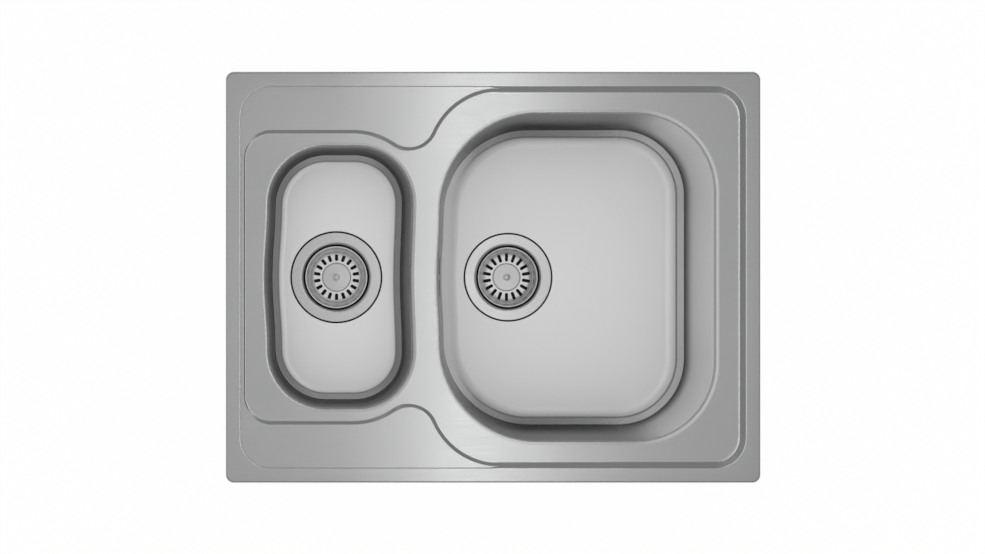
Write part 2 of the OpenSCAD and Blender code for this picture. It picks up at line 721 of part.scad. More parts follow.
module body_gasket(half) {
    color(black_rubber) at_waste(half) translate([0, 0, gasket_z]) difference() {
        cylinder(h = gasket_thick, r = body_rim_radius - 1.5);
        translate([0, 0, -1]) cylinder(h = gasket_thick + 2, r = waste_hole_radius);
    }
}

// The plastic body under the bowl: rim, chamber, funnel, outlet, overflow inlet and the screw's boss
module waste_body(half) {
    room = cup_radius + cup_sheet + 1.2;
    sump = sump_radius + cup_sheet + 1.6;
    bore = outlet_radius - body_wall;
    end_z = funnel_z - outlet_length;
    boss = screw_radius + 4;
    boss_top = hub_z - cup_sheet - 6;
    color(white_plastic) at_waste(half) difference() {
        union() {
            difference() {
                union() {
                    rotate_extrude() polygon([[room - 5, gasket_z], [body_rim_radius, gasket_z],
                        [body_rim_radius, gasket_z - body_rim], [room + body_wall, gasket_z - body_rim],
                        [room + body_wall, seat_z - 4], [sump + body_wall, -cup_depth - 4],
                        [outlet_radius + 1.2, funnel_z - 3], [outlet_radius, funnel_z - 5],
                        [outlet_radius, end_z], [bore - 5, end_z]]);
                    translate([0, 0, -inlet_depth]) rotate([0, -90, 0])
                        cylinder(h = inlet_reach, r = spigot_radius);
                }
                rotate_extrude() polygon([[0, gasket_z + 1], [room, gasket_z + 1], [room, seat_z - 3],
                    [sump, -cup_depth - 3], [bore, funnel_z], [bore, end_z - 1], [0, end_z - 1]]);
                translate([0, 0, -inlet_depth]) rotate([0, -90, 0])
                    cylinder(h = inlet_reach + 1, r = spigot_radius - spigot_wall);
            }
            translate([0, 0, funnel_z]) cylinder(h = boss_top - funnel_z, r = boss);
            intersection() {
                union() for (turn = [0, 90]) rotate([0, 0, turn])
                    translate([-sump - 1, -1.5, funnel_z]) cube([2 * sump + 2, 3, 11]);
                rotate_extrude() polygon([[0, -cup_depth - 3], [sump + 0.5, -cup_depth - 3],
                    [bore + 0.5, funnel_z], [bore + 0.5, end_z], [0, end_z]]);
            }
        }
        translate([0, 0, funnel_z - 1])
            cylinder(h = boss_top - funnel_z + 2, r = screw_radius + shank_clearance);
    }
}

module centre_screw(half) {
    slot = 1.6;
    color(zinc) at_waste(half) difference() {
        union() {
            translate([0, 0, hub_z]) cylinder(h = head_top - hub_z, r = head_radius);
            translate([0, 0, funnel_z - 3]) cylinder(h = hub_z - funnel_z + 4, r = screw_radius);
        }
        translate([-head_radius - 1, -slot / 2, head_top - 2]) cube([2 * head_radius + 2, slot, 3]);
    }
}

// The strainer basket: rolled lip, ribbed wall and a slotted bottom whose slots run up its curve
module basket(half) {
    lip = basket_radius;
    top = -lip_depth;
    low = -basket_depth;
    s = basket_sheet;
    inside = [[rivet_radius + 0.1, low], [28, low], [30, low + 0.6], [33.2, low + 4.5], [34.6, low + 8],
        [35.2, low + 12], [36.2, low + 15.5], [36.2, low + 17.5], [lip - 2.4, top - 1.2], [lip - 2, top]];
    outside = [[lip - 0.8, top], [lip, top - 0.7], [lip, top - 1.9], [lip - s, top - 1.9],
        [lip - s - 0.3, top - s - 0.2], [lip - 1.5, top - s - 0.4], [36.2 + s, low + 17.3],
        [36.2 + s, low + 15.2], [35.2 + s, low + 11.8], [34.6 + s, low + 7.8], [33.8, low + 4],
        [30.3, low - 0.1], [28.2, low - s], [rivet_radius + 0.1, low - s]];
    slot_top = low + 7;
    color(steel) at_waste(half) difference() {
        rotate_extrude() polygon(concat(inside, outside));
        for (k = [0:slot_count - 1]) rotate([0, 0, 90 + 360 * k / slot_count]) {
            translate([slot_inner_radius + slot_width / 2, -slot_width / 2, low - 2])
                cube([16, slot_width, slot_top - low + 2]);
            translate([slot_inner_radius + slot_width / 2, 0, low - 2])
                cylinder(h = 3, r = slot_width / 2);
        }
    }
}

// The raised disc with its boss, riveted through the basket's bottom
module basket_disc(half) {
    rise = 2.6;
    color(steel) at_waste(half) rotate_extrude() polygon([[0, disc_z + rise + 2],
        [boss_radius - 1, disc_z + rise + 1.9], [boss_radius, disc_z + rise + 1],
        [boss_radius + 0.4, disc_z + rise], [disc_radius - 2, disc_z + rise - 0.2],
        [disc_radius - 0.5, disc_z + rise - 0.9], [disc_radius, disc_z + rise - 1.6],
        [disc_radius, disc_z], [rivet_radius, disc_z], [rivet_radius, stem_z - washer_thick + 0.2],
        [0, stem_z - washer_thick + 0.2]]);
}

// The stem's socket drops over the centre screw's head, and its washer and collar hold the plug
module basket_stem(half) {
    bore = head_radius + head_play;
    outer = bore + socket_wall;
    collar = 1.3;
    low = head_top - 0.5;
    color(grey_plastic) at_waste(half) rotate_extrude() polygon([[rivet_radius + 0.1, stem_z], [12, stem_z],
        [12, plug_z], [outer, plug_z], [outer, plug_z - plug_thick], [outer + 2, plug_z - plug_thick],
        [outer + 2, plug_z - plug_thick - collar], [outer, low], [bore, low],
        [bore, stem_z - washer_thick + 0.2], [rivet_radius + 0.1, stem_z - washer_thick + 0.2]]);
}

// The rubber plug under the basket closes on the cup's seat
module basket_plug(half) {
    hole = head_radius + head_play + socket_wall;
    color(black_rubber) at_waste(half) rotate_extrude() polygon([[hole, plug_z],
        [plug_radius - 1.5, plug_z], [plug_radius, plug_z - 1],
        [plug_radius, plug_z - plug_thick + 0.4], [plug_radius - 0.6, plug_z - plug_thick],
        [hole, plug_z - plug_thick]]);
}

// The rosette in the main bowl's wall, with four curved openings round its screw
module overflow_rosette() {
    face = rosette_thick - overflow_pocket_depth;
    color(steel) at_overflow() difference() {
        turned_on_x([[-overflow_pocket_depth, 2.55], [-overflow_pocket_depth, rosette_radius],
            [face - 0.5, rosette_radius], [face, rosette_radius - 0.6], [face, 2.55]]);
        difference() {
            turned_on_x([[-3, 11.5], [-3, overflow_hole_radius - 1],
                [1, overflow_hole_radius - 1], [1, 11.5]]);
            for (turn = [45, 135]) rotate([turn, 0, 0])
                translate([-5, -2.5, -rosette_radius]) cube([10, 5, 2 * rosette_radius]);
        }
    }
}

module overflow_screw() {
    face = rosette_thick - overflow_pocket_depth;
    tip = housing_x - housing_depth + housing_wall + 1;
    color(steel) at_overflow() difference() {
        turned_on_x([[tip, 0], [tip, 2.5],
            [face, 2.5], [face, 5], [face + 0.9, 4.4], [face + 1.5, 2.6], [face + 1.7, 0]]);
        translate([face + 0.8, -5, -0.6]) cube([2, 10, 1.2]);
    }
}

module overflow_gasket() {
    back = -overflow_pocket_depth - sheet;
    color(black_rubber) at_overflow()
        turned_on_x([[housing_x, overflow_hole_radius + 1], [housing_x, housing_radius],
            [back, housing_radius], [back, overflow_hole_radius + 1]]);
}

// The housing behind the wall, with a post for the screw and a spigot for the hose
module overflow_housing() {
    back = housing_x - housing_depth;
    inner = housing_radius - housing_wall;
    color(white_plastic) at_overflow() difference() {
        union() {
            difference() {
                union() {
                    turned_on_x([[back, 0], [back, housing_radius - 3], [back + 3, housing_radius],
                        [housing_x, housing_radius], [housing_x, 0]]);
                    translate([-hose_offset, 0, -spigot_end]) cylinder(h = spigot_end - 5, r = spigot_radius);
                }
                turned_on_x([[back + housing_wall, 0], [back + housing_wall, inner - 3],
                    [back + housing_wall + 3, inner], [housing_x + 1, inner], [housing_x + 1, 0]]);
                translate([-hose_offset, 0, -spigot_end - 1])
                    cylinder(h = spigot_end - 9, r = spigot_radius - spigot_wall);
            }
            turned_on_x([[back + 1, 0], [back + 1, 5], [housing_x - 4, 5], [housing_x - 4, 0]]);
        }
        turned_on_x([[back + housing_wall, 0], [back + housing_wall, 2.55],
            [housing_x, 2.55], [housing_x, 0]]);
    }
}

// The hose's centre line at distance s as [x, z, heading]
function hose_at(s) =
    s < hose_drop ? [hose_start.x + s * sin(wall_tilt), hose_start.y - s * cos(wall_tilt), -bend_angle]
    : s < hose_drop + bend_length
        ? let (h = -bend_angle + (s - hose_drop) / bend_length * bend_angle)
            [bend_start.x + hose_bend * (sin(h) + sin(bend_angle)),
                bend_start.y - hose_bend * (cos(h) - cos(bend_angle)), h]
    : [inlet_end_x + s - hose_drop - bend_length, hose_level, 0];

// A ring of points round the centre line
function hose_ring(s, r) =
    let (c = hose_at(s))
    [for (k = [0:hose_sides - 1]) let (t = 360 * k / hose_sides)
        [c[0] - r * cos(t) * sin(c[2]), r * sin(t), c[1] + r * cos(t) * cos(c[2])]];

// Stations of [distance, radius]: a smooth cuff, the ribs and a smooth cuff
function hose_stations() =
    let (plain = hose_bore + hose_wall, pitch = (hose_length - 2 * cuff - 2) / rib_count)
    concat([[0, plain], [cuff, plain]],
        [for (k = [0:rib_count - 1]) each [[cuff + 1 + (k + 0.3) * pitch, plain + rib_height],
            [cuff + 1 + (k + 0.8) * pitch, plain - rib_height]]],
        [[hose_length - cuff, plain], [hose_length, plain]]);

module overflow_hose() {
    stations = hose_stations();
    rings = len(stations);
    n = hose_sides;
    count = n * rings;
    side = [for (k = [0:rings - 2]) each strip(n * k, n * (k + 1), n)];
    color(grey_plastic) polyhedron(
        points = concat([for (s = stations) each hose_ring(s[0], s[1])],
            [for (s = stations) each hose_ring(s[0], hose_bore)]),
        faces = concat(side, flipped(side, count), strip(count, 0, n),
            flipped(strip(2 * count - n, count - n, n), 0)));
}

// A spring clip round the hose's cuff, with two ears to squeeze
module hose_clip() {
    bore = hose_bore + hose_wall + 0.1;
    band = 1;
    width = 8;
    color(zinc) difference() {
        union() {
            cylinder(h = width, r = bore + band);
            for (turn = [-14, 14]) rotate([0, 0, turn])
                translate([bore, -band / 2, 1]) cube([7, band, width - 2]);
        }
        translate([0, 0, -1]) cylinder(h = width + 2, r = bore);
    }
}

module hose_clip_upper() at_overflow() translate([-hose_offset, 0, -spigot_end + 3])
    rotate([0, 0, 90]) hose_clip();
module hose_clip_lower() translate([inlet_end_x + 4, 0, hose_level]) rotate([0, 90, 0])
    rotate([0, 0, 90]) hose_clip();

// The cap that closes the inlet of the half bowl's waste, which has no overflow
module inlet_cap() {
    color(grey_plastic) at_waste(true) translate([-inlet_reach - 2, 0, -inlet_depth]) rotate([0, 90, 0])
        rotate_extrude() polygon([[0, 0], [spigot_radius + 1.5, 0], [spigot_radius + 2.2, 0.7],
            [spigot_radius + 2.2, 13], [spigot_radius + 0.1, 13], [spigot_radius + 0.1, 2], [0, 2]]);
}

deck();
main_bowl();
half_bowl();
rim_seal();
rail_right();
rail_back();
rail_left();
rail_front();
for (k = CLAMPS) {
    clamp_bolt(k);
    clamp_claw(k);
}
main_pad();
half_pads();
for (half = [false, true]) {
    name = half ? "half_" : "main_";
    flange(half);
    flange_seal(half);
    body_gasket(half);
    waste_body(half);
    centre_screw(half);
    basket(half);
    basket_disc(half);
    basket_plug(half);
    basket_stem(half);
}
overflow_rosette();
overflow_screw();
overflow_gasket();
overflow_housing();
overflow_hose();
hose_clip_upper();
hose_clip_lower();
inlet_cap();
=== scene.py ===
"""Looks for the inset kitchen sink: its deck and bowls, wastes, overflow, seals, rails and clamps.

Sizes are in millimetres in the tables below, and in metres in the meshes and finishes.
"""

import json
import math

import bmesh
import bpy
from mathutils import Matrix, Vector


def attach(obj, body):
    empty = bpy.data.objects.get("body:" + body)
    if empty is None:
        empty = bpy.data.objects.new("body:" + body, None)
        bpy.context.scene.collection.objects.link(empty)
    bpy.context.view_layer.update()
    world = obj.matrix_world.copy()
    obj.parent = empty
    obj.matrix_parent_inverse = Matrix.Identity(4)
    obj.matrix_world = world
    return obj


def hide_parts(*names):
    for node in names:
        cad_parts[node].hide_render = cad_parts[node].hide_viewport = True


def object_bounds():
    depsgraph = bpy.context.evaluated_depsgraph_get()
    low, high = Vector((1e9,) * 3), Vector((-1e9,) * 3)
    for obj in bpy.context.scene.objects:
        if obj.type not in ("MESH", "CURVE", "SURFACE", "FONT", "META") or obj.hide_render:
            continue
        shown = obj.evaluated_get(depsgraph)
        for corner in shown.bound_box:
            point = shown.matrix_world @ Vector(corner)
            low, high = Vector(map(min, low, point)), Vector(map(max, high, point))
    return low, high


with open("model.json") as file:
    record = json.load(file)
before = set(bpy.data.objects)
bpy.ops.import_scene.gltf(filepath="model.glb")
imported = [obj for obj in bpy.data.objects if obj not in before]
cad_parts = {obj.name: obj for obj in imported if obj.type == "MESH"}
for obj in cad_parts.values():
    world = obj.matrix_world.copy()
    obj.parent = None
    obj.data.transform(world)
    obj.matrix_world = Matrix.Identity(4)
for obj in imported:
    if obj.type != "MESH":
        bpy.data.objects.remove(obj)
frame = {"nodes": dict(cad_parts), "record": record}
cad_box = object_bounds()
MM = 0.001
MERGE = 1e-7
TURN_STEPS = 128
STEEL_SHEET = 0.9
HALF_LENGTH, HALF_WIDTH = 325, 250
WET_Z, LEDGE_Z, RIM_Z = 1.0, 3.5, 4.5
# The soft shoulder between the wet area and the bowls' rolled edges: its width and its drop
SEAM, SEAM_DROP = 3.0, 0.16
WASTES = {"main": (32.0, 0.0, -159.0), "half": (-191.5, 0.0, -79.0)}

# The camera hangs over the half bowl's side, and its frame is shifted to centre the sink
CAMERA_X, CAMERA_HEIGHT, FRAME_WIDTH = -165.0, 2130.0, 1195.8
FRAME_MIDDLE = Vector((-0.9, 0.3))
SENSOR = 36.0

camera = bpy.data.objects.new("camera", bpy.data.cameras.new("camera"))
bpy.context.scene.collection.objects.link(camera)
camera.location = (CAMERA_X * MM, 0.0, (RIM_Z + CAMERA_HEIGHT) * MM)
camera.data.sensor_width = SENSOR
camera.data.lens = SENSOR * CAMERA_HEIGHT / FRAME_WIDTH
camera.data.shift_x = (FRAME_MIDDLE.x - CAMERA_X) / FRAME_WIDTH
camera.data.shift_y = FRAME_MIDDLE.y / FRAME_WIDTH
camera.data.clip_end = 50.0
bpy.context.scene.camera = camera
bpy.context.scene.view_settings.view_transform = "Standard"


# Outlines of the pressed sheet

def arc(centre, radius, start, end, count):
    """Points on an arc about centre, from one angle to another in degrees."""
    turns = (math.radians(start + (end - start) * k / count) for k in range(count + 1))
    return [Vector((centre[0] + radius * math.cos(a), centre[1] + radius * math.sin(a)))
            for a in turns]


def circle(centre, radius, count):
    """Evenly spaced points on a circle."""
    return arc(centre, radius, 0, 360 - 360 / count, count - 1)


def both_halves(back):
    """The back half of an outline with its mirror image in front of it."""
    return back + [Vector((p.x, -p.y)) for p in reversed(back)]


def rim_outline(inset, corner, count, stops=()):
    """A rounded rectangle at an inset from the deck's outer edge, with stops on its long sides."""
    x, y = HALF_LENGTH - inset - corner, HALF_WIDTH - inset - corner
    return both_halves(arc((x, y), corner, 0, 90, count)
                       + [Vector((s, y + corner)) for s in stops]
                       + arc((-x, y), corner, 90, 180, count))


# The line of the ledges' inner edge: its inset and corners beside the rim, its straight parts at
# LEDGE_Y, and the two swells with a dip between them that join the two
LINE_INSET, LINE_CORNER = 22.0, 33.5
LINE_X, LINE_Y = HALF_LENGTH - LINE_INSET, HALF_WIDTH - LINE_INSET
LEDGE_Y = 177.0
SWELL, DIP = 87.0, 33.0
LEFT_SWELL = Vector((-170, LEDGE_Y - SWELL))
RIGHT_SWELL = Vector((8, LINE_Y - SWELL))
APART = RIGHT_SWELL - LEFT_SWELL
DIP_CENTRE = ((LEFT_SWELL + RIGHT_SWELL) / 2
              + Vector((-APART.y, APART.x)).normalized()
              * math.sqrt((SWELL + DIP) ** 2 - APART.length_squared / 4))
# On the left the step's slope, which reaches this far from its line, is narrower and moved in
SLOPE_REACH, LEFT_NARROWING, LEFT_SHIFT = 2.1, 0.71, 1.0


def ledge_curve(out):
    """The S-shaped step from the swell beside the main bowl to the one beside the half bowl."""
    def towards_dip(swell):
        way = DIP_CENTRE - swell
        return math.degrees(math.atan2(way.y, way.x))
    right, left = towards_dip(RIGHT_SWELL), towards_dip(LEFT_SWELL)
    return (arc(RIGHT_SWELL, SWELL + out, 90, right, 20)
            + arc(DIP_CENTRE, DIP - out, right - 180, left - 180, 20)[1:-1]
            + arc(LEFT_SWELL, SWELL + out, left, 90, 14))


def ledge_outline(out):
    """The ledges' inner edge, moved outwards."""
    corner = LINE_CORNER + out
    left_middle = Vector((LINE_CORNER - LINE_X, LEDGE_Y - LINE_CORNER))
    moved_in = LEFT_NARROWING * min(max(out, -SLOPE_REACH), SLOPE_REACH) + LEFT_SHIFT
    left = [left_middle + spot * (corner - moved_in * spot.x ** 2)
            for spot in arc((0, 0), 1.0, 90, 180, 16)]
    right = arc((LINE_X - LINE_CORNER, LINE_Y - LINE_CORNER), corner, 0, 90, 16)
    return both_halves(right + ledge_curve(out) + left)


# Bowls: corners and bows are given left and right, the walls' draft left, right and at the back;
# the foot is its height, and the band is the steep band's top, its inset and height at its lower
# end, and the inset where the curve below it reaches the floor
BOWLS = {
    "main": {"x": 103.4, "length": 334.2, "width": 398.0, "corners": (119.0, 95.0),
             "bows": (3.0, 0.0), "draft": (10.0, 10.2, 7.0), "roll": 1.9, "foot": 22.0,
             "band": (10.9, 9.0, 4.2, 23.0)},
    "half": {"x": -185.6, "length": 174.4, "width": 317.6, "corners": (69.0, 68.0),
             "bows": (4.0, -2.5), "draft": (4.5, 10.2, 4.8), "roll": 2.3, "foot": 18.0,
             "band": (7.6, 7.5, 1.6, 16.0)},
}
BOW_STEPS, CORNER_STEPS = 12, 20


def bowl_outline(bowl, draft, inset):
    """A bowl's outline at a share of its walls' draft, moved inwards by inset."""
    from_left, from_right, from_top = (draft * d + inset for d in bowl["draft"])
    left = bowl["x"] - bowl["length"] / 2 + from_left
    right = bowl["x"] + bowl["length"] / 2 - from_right
    top = bowl["width"] / 2 - from_top
    rl, rr = (r - (d + from_top) / 2 for r, d in zip(bowl["corners"], (from_left, from_right)))

    def side(x, bow, reach):
        turns = (2 * k / BOW_STEPS - 1 for k in range(1, BOW_STEPS))
        return [Vector((x + bow * math.cos(math.pi / 2 * u) ** 2, u * reach)) for u in turns]
    return (side(right, bowl["bows"][1], top - rr)
            + arc((right - rr, top - rr), rr, 0, 90, CORNER_STEPS)
            + arc((left + rl, top - rl), rl, 90, 180, CORNER_STEPS)
            + [Vector((p.x, -p.y)) for p in side(left, -bowl["bows"][0], top - rl)]
            + arc((left + rl, rl - top), rl, 180, 270, CORNER_STEPS)
            + arc((right - rr, rr - top), rr, 270, 360, CORNER_STEPS))


# Sheets of steel from rings of points

def ring(sheet, outline, z):
    """A closed ring of edges at one height."""
    points = [sheet.verts.new((p.x * MM, p.y * MM, z * MM)) for p in outline]
    return [sheet.edges.new((points[k - 1], points[k])) for k in range(len(points))]


def bridge(sheet, rings):
    """Walls between one ring and the next."""
    for upper, lower in zip(rings, rings[1:]):
        bmesh.ops.bridge_loops(sheet, edges=upper + lower)


def flat(sheet, *rings):
    """A flat field inside the first ring and outside the others."""
    bmesh.ops.triangle_fill(sheet, use_beauty=True, edges=[e for r in rings for e in r])


def drawn_on(sheet, edges, centre, profile):
    """Carries a round edge on through radii and heights, of which the first are its own."""
    for (r0, z0), (r1, z1) in zip(profile, profile[1:]):
        made = bmesh.ops.extrude_edge_only(sheet, edges=edges)["geom"]
        points = [g for g in made if isinstance(g, bmesh.types.BMVert)]
        bmesh.ops.scale(sheet, verts=points, vec=(r1 / r0, r1 / r0, 1),
                        space=Matrix.Translation((-centre[0] * MM, -centre[1] * MM, 0)))
        bmesh.ops.translate(sheet, verts=points, vec=(0, 0, (z1 - z0) * MM))
        edges = [e for e in {e for v in points for e in v.link_edges}
                 if all(v in points for v in e.verts)]


def turned(profile, centre, steps=TURN_STEPS):
    """A sheet or solid turned about an upright axis through a point, from radii and heights."""
    sheet = bmesh.new()
    points = [sheet.verts.new(((centre[0] + r) * MM, centre[1] * MM, (centre[2] + z) * MM))
              for r, z in profile]
    line = [sheet.edges.new(pair) for pair in zip(points, points[1:])]
    bmesh.ops.spin(sheet, geom=points + line, cent=[c * MM for c in centre], axis=(0, 0, 1),
                   angle=2 * math.pi, steps=steps, use_merge=True)
    bmesh.ops.remove_doubles(sheet, verts=sheet.verts, dist=MERGE)
    return sheet


def rounded(profile, count=5):
    """Turns corners of radius, height and softness into a smooth profile."""
    spots = [Vector(p[:2]) for p in profile]
    soft = []
    for k, (spot, corner) in enumerate(zip(spots, profile)):
        if len(corner) < 3:
            soft.append(spot)
            continue
        way_in, way_out = spots[k - 1] - spot, spots[k + 1] - spot
        reach = min(corner[2], way_in.length * 0.49, way_out.length * 0.49)
        a, b = spot + way_in.normalized() * reach, spot + way_out.normalized() * reach
        shares = (k / count for k in range(count + 1))
        soft += [a * (1 - s) ** 2 + spot * 2 * s * (1 - s) + b * s * s for s in shares]
    return soft


def near(sheet, keep):
    """The faces whose middles pass a test."""
    return [f for f in sheet.faces if keep(f.calc_center_median() / MM)]


def cut(sheet, faces, point, normal):
    """Cuts faces along a plane and returns them with the new ones."""
    geom = set(faces) | {e for f in faces for e in f.edges} | {v for f in faces for v in f.verts}
    made = bmesh.ops.bisect_plane(sheet, geom=list(geom), dist=MERGE, plane_co=point,
                                  plane_no=normal)
    return [g for g in made["geom"] if isinstance(g, bmesh.types.BMFace)]


def eased(share):
    """A share from 0 to 1 that starts and ends softly."""
    share = min(max(share, 0), 1)
    return share * share * (3 - 2 * share)


def close_sheet(sheet, thickness=STEEL_SHEET):
    """Turns the faces up and gives the sheet its thickness below them."""
    bmesh.ops.remove_doubles(sheet, verts=sheet.verts, dist=MERGE)
    bmesh.ops.recalc_face_normals(sheet, faces=sheet.faces)
    if sum(f.normal.z * f.calc_area() for f in sheet.faces) < 0:
        bmesh.ops.reverse_faces(sheet, faces=sheet.faces)
    bmesh.ops.solidify(sheet, geom=sheet.faces[:], thickness=thickness * MM)


def to_piece(sheet, name, body, finish, nodes, sharp=35.0):
    """Makes a bmesh a finished piece that rides on a body and replaces CAD nodes."""
    mesh = bpy.data.meshes.new(name)
    sheet.to_mesh(mesh)
    sheet.free()
    finish_mesh(mesh, name, body, finish, nodes, sharp)


def finish_mesh(mesh, name, body, finish, nodes, sharp, edge=0.0):
    """Shades a mesh smooth up to a sharp angle, softens its edges by a width, gives it its finish
    and sets it on its body.
    """
    for face in mesh.polygons:
        face.use_smooth = True
    mesh.set_sharp_from_angle(angle=math.radians(sharp))
    piece = bpy.data.objects.new(name, mesh)
    bpy.context.scene.collection.objects.link(piece)
    mesh.materials.clear()
    mesh.materials.append(finish)
    if edge:
        soft = piece.modifiers.new("soft edges", "BEVEL")
        soft.width = edge * MM
        soft.segments = 2
        soft.limit_method = "ANGLE"
        soft.angle_limit = math.radians(40)
        soft.miter_outer = "MITER_ARC"
    normals = piece.modifiers.new("flat fields stay flat", "WEIGHTED_NORMAL")
    normals.weight = 50
    normals.keep_sharp = True
    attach(piece, body)
    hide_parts(*nodes)


# Nodes of the finishes

def feed(tree, target, value):
    """Links a socket to a target, or sets the target to a number."""
    if isinstance(value, (int, float)):
        target.default_value = value
    else:
        tree.links.new(value, target)


def math_node(tree, operation, *values):
    """A sum, product or the like of numbers and sockets."""
    node = tree.nodes.new("ShaderNodeMath")
    node.operation = operation
    for target, value in zip(node.inputs, values):
        feed(tree, target, value)
    return node.outputs[0]


def map_range(tree, value, from_min, from_max, to_min, to_max, kind="LINEAR"):
    """A socket's values carried from one range to another and held at its ends."""
    node = tree.nodes.new("ShaderNodeMapRange")
    node.interpolation_type = kind
    limits = {"From Min": from_min, "From Max": from_max, "To Min": to_min, "To Max": to_max}
    for name, level in limits.items():
        node.inputs[name].default_value = level
    tree.links.new(value, node.inputs["Value"])
    return node.outputs[0]


def smooth(tree, value, *limits):
    """As map_range, with soft ends."""
    return map_range(tree, value, *limits, "SMOOTHSTEP")


def axes(tree, vector):
    """The X, Y and Z of a vector."""
    split = tree.nodes.new("ShaderNodeSeparateXYZ")
    tree.links.new(vector, split.inputs[0])
    return split.outputs


def combine(tree, x, y=0.0, z=0.0):
    """A vector from numbers and sockets."""
    node = tree.nodes.new("ShaderNodeCombineXYZ")
    for target, value in zip(node.inputs, (x, y, z)):
        feed(tree, target, value)
    return node.outputs[0]


def noise(tree, vector, scale, detail):
    """Noise over a vector, at a scale that is a number or a socket."""
    node = tree.nodes.new("ShaderNodeTexNoise")
    node.inputs["Detail"].default_value = detail
    tree.links.new(vector, node.inputs["Vector"])
    feed(tree, node.inputs["Scale"], scale)
    return node.outputs[0]


def centred(tree, centre=(0, 0, 0)):
    """Object coordinates measured from a centre in millimetres."""
    place = tree.nodes.new("ShaderNodeTexCoord")
    moved = tree.nodes.new("ShaderNodeMapping")
    moved.inputs["Location"].default_value = [-c * MM for c in centre]
    tree.links.new(place.outputs["Object"], moved.inputs["Vector"])
    return moved.outputs[0]


def new_group(name, vectors, numbers, outputs):
    """An empty node group with its input and output nodes; numbers come with their values."""
    group = bpy.data.node_groups.new(name, "ShaderNodeTree")
    for key in vectors:
        group.interface.new_socket(key, in_out="INPUT", socket_type="NodeSocketVector")
    for key, value in numbers.items():
        made = group.interface.new_socket(key, in_out="INPUT", socket_type="NodeSocketFloat")
        made.default_value = value
    for key in outputs:
        group.interface.new_socket(key, in_out="OUTPUT", socket_type="NodeSocketFloat")
    return group, group.nodes.new("NodeGroupInput"), group.nodes.new("NodeGroupOutput")


def use_group(tree, group, values):
    """Stands a node group in a tree, feeds its inputs and returns its outputs."""
    node = tree.nodes.new("ShaderNodeGroup")
    node.node_tree = group
    for name, value in values.items():
        feed(tree, node.inputs[name], value)
    return node.outputs


def relief_group(name, numbers, shape, detail, drift_scale, drift_detail):
    """A fine relief, sized by its first number, over a slower drift: its height and a mask."""
    group, inside, outside = new_group(name, ("Vector",), numbers, ("Height", "Mask"))
    fine = noise(group, shape(group, inside), inside.outputs[next(iter(numbers))], detail)
    drift = noise(group, inside.outputs["Vector"], drift_scale, drift_detail)
    group.links.new(fine, outside.inputs["Height"])
    group.links.new(math_node(group, "MULTIPLY", math_node(group, "ADD", fine, drift), 0.5),
                    outside.inputs["Mask"])
    return group


def drawn_along_x(group, inside):
    """The vector of a fine brushing along X."""
    x, y, z = axes(group, inside.outputs["Vector"])
    return combine(group, math_node(group, "DIVIDE", x, inside.outputs["Stretch"]), y, z)


def drawn_round_z(group, inside):
    """The vector of fine rings round the Z axis, as a lathe or a round brush leaves."""
    x, y, z = axes(group, inside.outputs["Vector"])
    reach = group.nodes.new("ShaderNodeVectorMath")
    reach.operation = "LENGTH"
    group.links.new(combine(group, x, y), reach.inputs[0])
    return combine(group, reach.outputs["Value"], 0.0, z)


def not_drawn(group, inside):
    """The plain vector, for the specks of rubber, plastic and plated parts."""
    return inside.outputs["Vector"]


def bowl_zones_group():
    """Masks for a drawn bowl's painted light and shade: its flat floor and left end, painted
    lighter, a crease in its foot with a painted dark line, painted shade over the foot, the rolled
    edge and the side that lies towards +X, painted lighter."""
    group, inside, outside = new_group(
        "bowl zones", ("Vector",),
        {"Floor Height": 0.0, "Foot Height": 0.015, "Crease": 0.4, "Band": 0.3, "Left End": 0.0,
         "Painted Light Start": 0.1}, ("Floor", "Crease", "Foot", "Rolled Edge", "Painted Light Right Side"))
    x, _, z = axes(group, inside.outputs["Vector"])

    def maths(operation, *values):
        return math_node(group, operation, *values)

    # The height above the floor, in foot heights
    above = maths("DIVIDE", maths("SUBTRACT", z, inside.outputs["Floor Height"]),
                  inside.outputs["Foot Height"])
    left = smooth(group, maths("SUBTRACT", x, inside.outputs["Left End"]), -0.04, 0.04, 1, 0)
    right = smooth(group, maths("SUBTRACT", x, inside.outputs["Painted Light Start"]), 0, 0.09, 0, 1)
    band = maths("MAXIMUM", inside.outputs["Band"], left)
    flat_part = maths("MAXIMUM", smooth(group, above, 0.07, 0.62, 1, 0), band)
    off_crease = maths("ABSOLUTE", maths("SUBTRACT", above, inside.outputs["Crease"]))
    foot = maths("MULTIPLY", smooth(group, above, 0.92, 1.08, 0, 1),
                 map_range(group, above, 1.1, 9.5, 1, 0))
    shorter = maths("MULTIPLY", right, smooth(group, above, 1.3, 6.0, 0, 1))
    foot = maths("MULTIPLY", foot, maths("SUBTRACT", 1.0, shorter))
    # Painted light and shade: the floor, a share of the steep band and the left end are painted
    # lighter, the crease gets a painted dark line, and the foot gets painted shade that is halved
    # at the left end and shortened on the side painted lighter
    masks = {
        "Floor": maths("MULTIPLY", flat_part, smooth(group, above, 0.9, 1.02, 1, 0)),
        "Crease": maths("MULTIPLY", smooth(group, off_crease, 0.02, 0.1, 1, 0),
                        maths("SUBTRACT", 1.0, left)),
        "Foot": maths("MULTIPLY", foot, map_range(group, left, 0, 1, 1, 0.5)),
        "Rolled Edge": smooth(group, z, -0.009, -0.004, 0, 1),
        "Painted Light Right Side": right,
    }
    for name, mask in masks.items():
        group.links.new(mask, outside.inputs[name])
    return group


def inward_group():
    """A mask for the faces that look towards the Z axis of a centred vector, or straight up."""
    group, inside, outside = new_group("inward faces", ("Vector", "Normal"), {}, ("Mask",))
    place = axes(group, inside.outputs["Vector"])
    normal = axes(group, inside.outputs["Normal"])
    outward = math_node(group, "ADD", math_node(group, "MULTIPLY", place[0], normal[0]),
                        math_node(group, "MULTIPLY", place[1], normal[1]))
    inward = math_node(group, "LESS_THAN", outward, -0.002)
    up = math_node(group, "GREATER_THAN", normal[2], 0.7)
    group.links.new(math_node(group, "MAXIMUM", inward, up), outside.inputs["Mask"])
    return group


